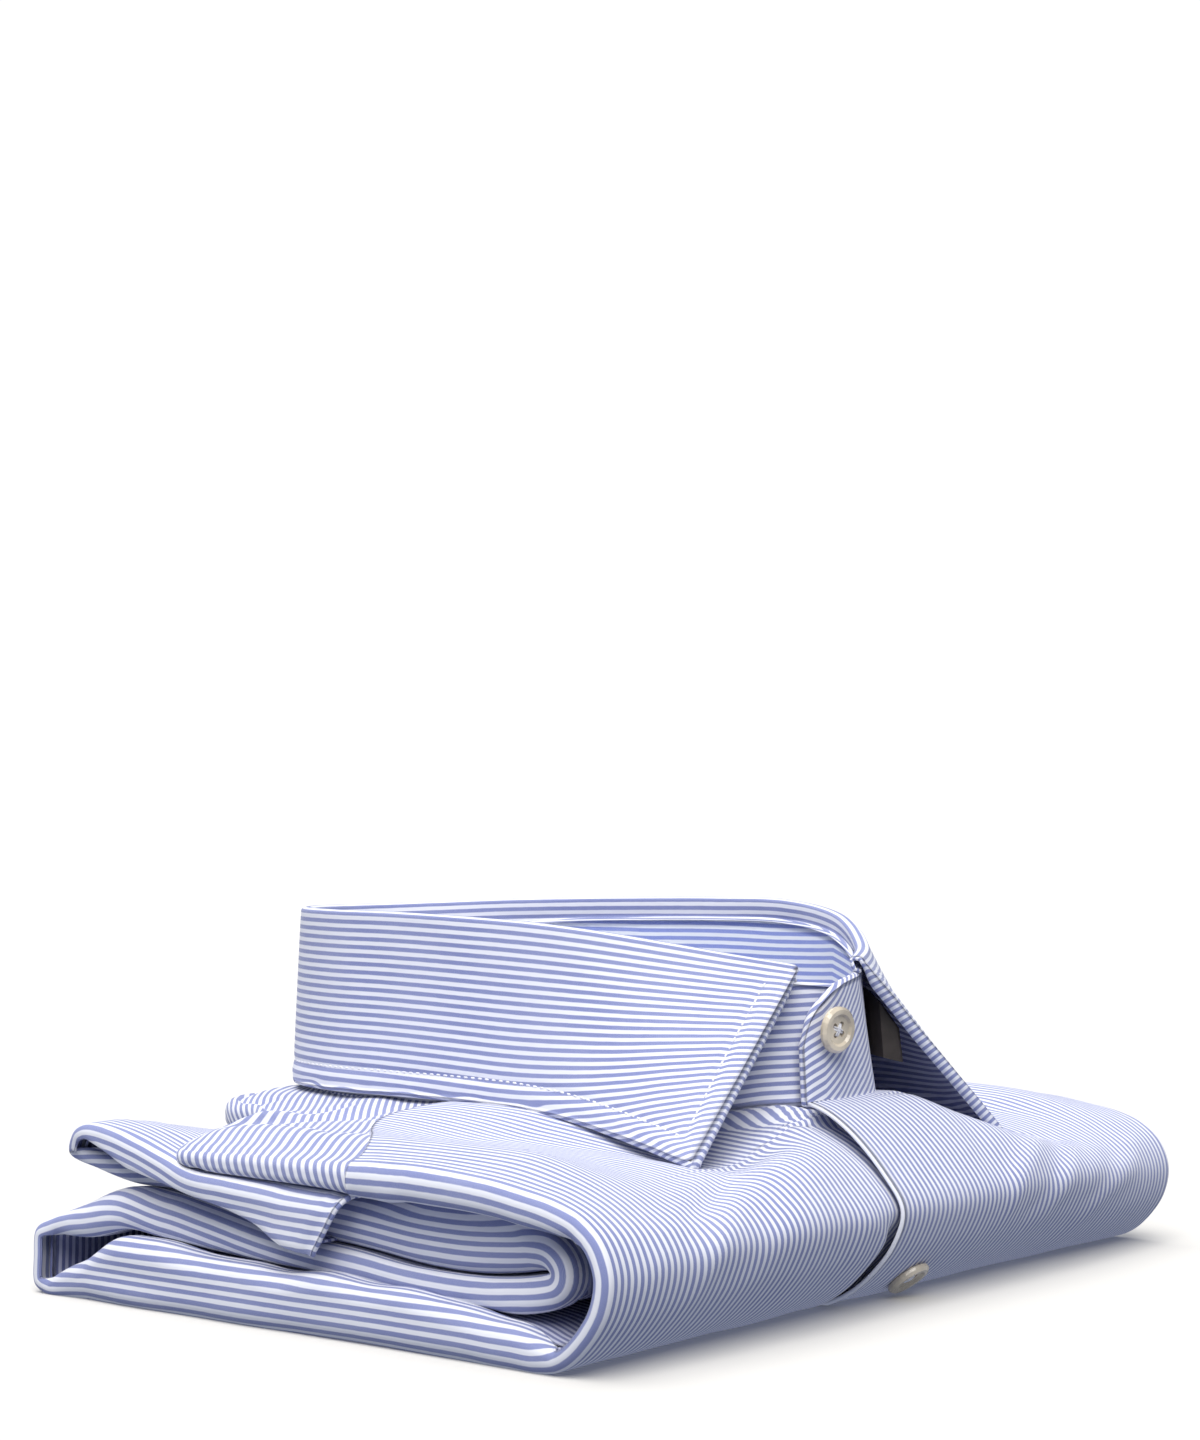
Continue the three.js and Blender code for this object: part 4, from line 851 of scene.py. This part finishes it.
def make_lining():
    across = np.linspace(-1, 1, 41)
    back = neckline.at(lerp(LAST_RING_ROW, LINING_ROW, np.abs(across)))
    start = np.stack([np.sign(across) * back[:, 0], back[:, 1]], -1)
    end = np.stack([LINING_HALF * across, np.full_like(across, LINING_END)], -1)
    share = np.linspace(0, 1, 40)[:, None]
    flat = lerp(start[None], end[None], share[..., None])
    x, d = flat[..., 0], flat[..., 1]
    rest = np.interp(d, *zip(*TAIL_TOP)) + LINING_ABOVE
    z = rest + (BACK_NECK_Z - CLOTH - rest) * (1 - smooth(share, 0, LINING_DROP))
    z = z + ripples(x, d, LINING_RIPPLE, 21) * smooth(share, 0, 0.2)
    grid = np.stack([x, d + CORNER_Y, z], -1)
    up = 1 if grid_normals(grid)[20, 20, 2] > 0 else -1
    return shell("yoke_lining_cloth", grid, flat[..., ::-1].copy(), CLOTH, cloth_yoke, facing=up)


yoke_lining = make_lining()

# ---- collar ----
RING_PITCH = 1.6
STAND_COUNT = 22
FOOT_ABOVE = 0.1  # the neckline
# How far the band's stripes have slanted up, by the length from its buttoned end.
BAND_SLANT = [(0, 0), (8, 3), (16, 8), (24, 15), (34, 22), (60, 30), (400, 30)]


def ring_rows(low):
    """Rows of the neckline from low to the middle of the back, evenly spaced by length."""
    rows = np.linspace(low, LAST_RING_ROW, 600)
    run = run_length(neckline.at(rows))
    count = max(int(run[-1] / RING_PITCH), 2)
    return np.interp(np.linspace(0, run[-1], count), run, rows)


def stand_column(side, foot, top, under):
    """Outer face of the stand from its foot to its top, moved in by under."""
    x, d = foot
    base = np.array([side * x, d, neckline_height(abs(x), d) + FOOT_ABOVE])
    top = np.array(top) * (side, 1, 1)
    return [inwards(lerp(base, top, h), under) for h in np.linspace(0, 1, STAND_COUNT)]


def stand_sections():
    """The stand from its buttoned end, round the neck to the end under that one."""
    ends = Curve(BAND_END + [NECKLINE[0] + COLLAR_LEFT[0][:3]])
    end_rows = np.linspace(0, len(BAND_END), 14)
    columns = [stand_column(1, q[:2], q[2:], 0) for q in ends.at(end_rows)[:-1]]
    rows = ring_rows(0)
    plan = [(1, 1, row, 0) for row in rows]
    plan += [(-1, -1, row, float(under_band(row))) for row in rows[::-1][1:]]
    plan += [(1, -1, row, UNDER_BAND) for row in np.linspace(0, 0.95, 6)[1:]]
    for side, half, row, under in plan:
        columns.append(stand_column(side, neckline.at(row), stand_tops[half].at(row), under))
    return np.array(columns)


def cloth_map(across, along):
    return np.stack([across, np.repeat(along[:, None], across.shape[1], 1)], -1)


def make_stand():
    columns = stand_sections()
    run = run_length(columns[:, 10])
    rise = np.array([run_length(column) for column in columns])
    slant = np.interp(run, *zip(*BAND_SLANT))
    grid = columns + (0, CORNER_Y, 0)
    normal = grid_normals(grid)[30, 8]
    facing = 1 if normal[1] < 0 or normal[0] > 0 else -1
    # the stand's inner faces take the lighter poplin copy, painted light
    return shell("collar_stand_cloth", grid, cloth_map(rise - slant[:, None], run), BAND,
                 cloth_collar, facing=facing, inside=cloth_neck_painted_light)


stand = make_stand()

FALL_COUNT = 60  # points down the leaf's fall
LEAF_ROLL, ROLL_HEIGHT = 1.9, 0.55  # radius of the roll over the fold, and its height to that
STITCH_INSET = 5.5  # the leaf's topstitching lies this far in from its edges
MAP_STRETCH, STRETCH_ROWS = (1.08, 0.95), (3.0, 6.5)  # of the stripes, from front to back


def leaf_sections():
    """Outer face of the leaf: up the inside, over the roll and down to the edge."""
    columns, arcs = [], []
    rows = ring_rows(LEAF_FRONT_ROW)
    for side, row in [(1, r) for r in rows] + [(-1, r) for r in rows[::-1][1:]]:
        fold, edge, head = (curves[side].at(row) * (side, 1, 1)
                            for curves in (leaf_folds, leaf_edges, stand_tops))
        outwards = unit((fold - inwards(fold, 1)) * (1, 1, 0))
        foot = inwards(head + (0, 0, GAP + 0.2), 0.2)
        centre = fold - outwards * LEAF_ROLL
        shoulder = centre - outwards * LEAF_ROLL
        shoulder[2] = max(fold[2] - LEAF_ROLL, foot[2] + 0.8)
        line = [lerp(foot, shoulder, t) for t in np.linspace(0, 1, 4)[:-1]]
        for a in np.linspace(math.pi, 0, 9)[:-1]:
            line.append(centre + outwards * LEAF_ROLL * math.cos(a)
                        + (0, 0, ROLL_HEIGHT * LEAF_ROLL * math.sin(a)))
        line += [lerp(fold, edge, t) for t in np.linspace(0, 1, FALL_COUNT)]
        arc = run_length(line)
        stretch = lerp(*MAP_STRETCH, smooth(row, *STRETCH_ROWS))
        columns.append(line)
        arcs.append((arc - arc[-FALL_COUNT]) * stretch)
    return np.array(columns), np.array(arcs)


def from_last(line):
    return run_length(line[::-1])[::-1]


leaf_grid, leaf_arc = leaf_sections()
leaf_uv = cloth_map(leaf_arc, run_length(leaf_grid[:, -FALL_COUNT]))
leaf_grid = leaf_grid + (0, CORNER_Y, 0)
leaf_normal = grid_normals(leaf_grid)
leaf_facing = 1 if leaf_normal[len(leaf_grid) // 2, -5, 1] > 0 else -1
leaf_normal *= leaf_facing
from_edge = np.array([from_last(line) for line in leaf_grid])
from_left, from_right = (np.array([length(line) for line in leaf_grid.transpose(1, 0, 2)]).T
                         for length in (run_length, from_last))
from_front = np.minimum(from_left, from_right)
near_edge = np.minimum(from_edge, from_front)
fall_start = leaf_grid.shape[1] - FALL_COUNT
on_fall = smooth(np.arange(leaf_grid.shape[1]), fall_start, fall_start + 8)
leaf_along = leaf_uv[..., 1]
# a groove under the topstitching, a ridge outside it, and puckers between the stitches
leaf_lift = 0.26 * bell(near_edge, 2.7, 1.7) - 0.34 * bell(near_edge, STITCH_INSET, 0.8)
leaf_lift += ripples(leaf_along, leaf_arc, (0.12, 9, 14), 8)
leaf_lift += ripples(leaf_along, from_edge, (0.13, 2.4, 30), 9) * bell(near_edge, 3.5, 2.6)
leaf_grid = leaf_grid + leaf_normal * (leaf_lift * on_fall)[..., None]
leaf_thick = LEAF + (bell(near_edge, 0, 2.4) + 0.9 * bell(from_front, 0, 2.4)) * on_fall
at_bottom = bell(from_edge, 0, 1.3) * on_fall
leaf_uv[..., 0] += value_noise(leaf_along / 8, 0 * from_edge, 12) * at_bottom
# the leaf's underside takes the darker poplin copy, painted shade
leaf = shell("collar_leaf_cloth", leaf_grid, leaf_uv, leaf_thick, cloth_collar,
             facing=leaf_facing, rope=STRIPE / 2, inside=cloth_under_painted_shade)


# ---- stitches ----
STITCH_PITCH, STITCH_LENGTH, STITCH_WIDTH = 2.5, 1.9, 0.30
STITCH_FLATNESS = 0.6
STITCH_SUNK, STITCH_RISE = 0.1, 0.05  # of its ends and its middle
STITCH_SIDES = 5


def point_at(length, run, values):
    return np.array([np.interp(length, run, values[:, k]) for k in range(3)])


def stitches(name, rows):
    """Rows of thread, each stitch a small bead along its path.  A row is (points, normals)."""
    verts, faces = [], []
    for path, normals in rows:
        run = run_length(path)
        for at in np.arange(STITCH_PITCH, run[-1] - STITCH_PITCH / 2, STITCH_PITCH):
            first, last = (point_at(at + s * STITCH_LENGTH, run, path) for s in (-0.5, 0.5))
            up = unit(point_at(at, run, normals))
            side = np.cross(unit(last - first), up)
            start = len(verts)
            verts.append(first - STITCH_SUNK * up)
            for t in (0.3, 0.7):
                centre = lerp(first, last, t) + STITCH_RISE * up
                for a in range(STITCH_SIDES):
                    turn = 2 * math.pi * a / STITCH_SIDES
                    ring = math.cos(turn) * side + STITCH_FLATNESS * math.sin(turn) * up
                    verts.append(centre + STITCH_WIDTH * ring)
            verts.append(last - STITCH_SUNK * up)
            near, far = start + 1, start + 1 + STITCH_SIDES
            for a in range(STITCH_SIDES):
                b = (a + 1) % STITCH_SIDES
                faces.append((start, near + a, near + b))
                faces.append((near + a, far + a, far + b, near + b))
                faces.append((far + STITCH_SIDES, far + b, far + a))
    return make_mesh(name, verts, faces, thread)


def inset_point(line, normal, away):
    """Point and normal where a line comes to the stitches' distance from an edge."""
    return [np.interp(STITCH_INSET, away, v[:, k]) for v in (line, normal) for k in range(3)]


def leaf_stitch_rows():
    """Down one front edge, along the leaf's edge and up the other, on its face."""
    def front(distance, order):
        rows = []
        for j in range(fall_start + 4, leaf_grid.shape[1]):
            if from_edge[0 if order > 0 else -1, j] < STITCH_INSET:
                break
            rows.append(inset_point(*(v[::order, j] for v in (leaf_grid, leaf_normal, distance))))
        return np.array(rows)
    bottom = [inset_point(leaf_grid[i, ::-1], leaf_normal[i, ::-1], from_edge[i, ::-1])
              for i in range(len(leaf_grid))
              if np.interp(STITCH_INSET, from_edge[i, ::-1], from_front[i, ::-1]) > STITCH_INSET]
    rows = (front(from_left, 1), np.array(bottom), front(from_right, -1))
    return [(r[:, :3], r[:, 3:]) for r in rows]


leaf_stitches = stitches("collar_leaf_topstitch", leaf_stitch_rows())
hem_stitches = stitches("tail_hem_stitches", [right_hem, left_hem])

HOLE_RADIUS, HOLE_TOP = 1.65, 1.75  # from a button's middle and its underside
THREAD_RADIUS, THREAD_APART, THREAD_BOW = 0.24, 0.28, 0.35
THREAD_COUNT, TUBE_SIDES = 9, 6


def button_thread(name, centre, facing, spin):
    """Two crossed loops of thread, each laid twice, through a button's four holes."""
    facing = Vector(facing).normalized()
    turn = Vector((0, 0, 1)).rotation_difference(facing).to_matrix() @ Matrix.Rotation(spin, 3, "Z")
    loops = []
    for pair in ((0.5, 2.5), (1.5, 3.5)):
        first, last = (Vector((HOLE_RADIUS * math.cos(q * math.pi / 2),
                               HOLE_RADIUS * math.sin(q * math.pi / 2), HOLE_TOP)) for q in pair)
        loops.append([Vector(centre) + turn @ first.lerp(last, t)
                      + THREAD_BOW * math.sin(math.pi * t) * facing
                      for t in np.linspace(0, 1, THREAD_COUNT)])
    verts, faces = [], []
    around = range(TUBE_SIDES)
    for shift in (-THREAD_APART, THREAD_APART):
        for points in loops:
            side = (points[-1] - points[0]).normalized().cross(facing)
            start = len(verts)
            for q in points:
                for k in around:
                    a = 2 * math.pi * k / TUBE_SIDES
                    verts.append(q + side * (shift + THREAD_RADIUS * math.cos(a))
                                 + facing * THREAD_RADIUS * math.sin(a))
            for i in range(start, start + TUBE_SIDES * (len(points) - 1), TUBE_SIDES):
                for k in around:
                    j = (k + 1) % TUBE_SIDES
                    faces.append((i + k, i + TUBE_SIDES + k, i + TUBE_SIDES + j, i + j))
            faces.append([start + k for k in around])
            faces.append([start + TUBE_SIDES * (len(points) - 1) + k for k in reversed(around)])
    return make_mesh(name, verts, faces, thread)


NECK_BUTTON = ((-8.4, 8.06 + CORNER_Y, 64.6), (-0.16, -0.98, -0.09))
CHEST_BUTTON_ROW = 9.62
chest_face = strip_point(CHEST_BUTTON_ROW, 1.0, 0.0, 1)
chest_facing = chest_face - strip_point(CHEST_BUTTON_ROW, 1.0, 1.0, 1)
threads = [
    button_thread("button_neck_thread", *NECK_BUTTON, 0.3),
    button_thread("button_front_thread", chest_face, chest_facing, 0.0),
]

# ---- looks of the solids that stay ----
# the collar support's near-black card colour is partly its own and partly painted shade
for name, material in (("collar_support", card), ("button_neck", horn), ("button_front", horn)):
    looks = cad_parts[name].data.materials
    looks.clear()
    looks.append(material)

# ---- what stands for what ----
for piece, node, flat, area in (
    (front_right, "front_right", (0.17, 0.77), None),
    (front_left, "front_left", (0.17, 0.77), None),
    (folded_back, "folded_core", (0.25, 0.70), None),
    (yoke, "yoke", (0.25, 0.13), 0.0195),
    (yoke_lining, None, (0.075, 0.065), 0.0044),
    (stand, "collar_stand", (0.45, 0.036), None),
    (leaf, "collar_leaf", (0.46, 0.062), None),
):
    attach(piece, "root")
    if node:
        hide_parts(node)

for piece, slot in ((leaf_stitches, "collar_cloth"), (hem_stitches, "shirt_cloth"),
                    *((t, "button") for t in threads)):
    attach(piece, "root")

# ---- floor and light ----
floor_look = Nodes("floor")
floor_mix = floor_look.ramp(floor_look.noise(3.0, 2.0), 0.3, 0.7)
floor_look.set(Base_Color=floor_look.mix(floor_mix, (0.72, 0.705, 0.67, 1), (0.74, 0.725, 0.69, 1)),
               Roughness=0.9)
bpy.ops.mesh.primitive_plane_add(size=12, location=(0, 0, 0))
floor = bpy.context.object
floor.name = "studio_floor"
floor.data.materials.append(floor_look.material)
floor.visible_diffuse = False  # the table's own glow doesn't fill the folds

for name, energy, spread, colour, heading in (
    ("window", 3.15, 50, (1.0, 0.98, 0.94), (0.50, 0.36, -0.79)),
    ("ceiling", 1.6, 60, (1.0, 0.99, 0.97), (0.06, -0.28, -1.0)),
):
    sun_data = bpy.data.lights.new(name, "SUN")
    sun_data.energy, sun_data.angle, sun_data.color = energy, math.radians(spread), colour
    sun = bpy.data.objects.new(name, sun_data)
    sun.rotation_euler = Vector(heading).to_track_quat("-Z", "Y").to_euler()
    scene.collection.objects.link(sun)

world = bpy.data.worlds.new("studio")
world.use_nodes = True
sky = world.node_tree
fill = sky.nodes["Background"]
backdrop = sky.nodes.new("ShaderNodeBackground")  # what the camera sees past the table
for light, colour, strength in ((fill, (0.74, 0.81, 1.0, 1), 0.38), (backdrop, (1, 1, 1, 1), 1.05)):
    light.inputs[0].default_value = colour
    light.inputs[1].default_value = strength
ray = sky.nodes.new("ShaderNodeLightPath")
both = sky.nodes.new("ShaderNodeMixShader")
sky.links.new(ray.outputs["Is Camera Ray"], both.inputs[0])
sky.links.new(fill.outputs[0], both.inputs[1])
sky.links.new(backdrop.outputs[0], both.inputs[2])
sky.links.new(both.outputs[0], sky.nodes["World Output"].inputs[0])
scene.world = world
scene.view_settings.view_transform = "Standard"
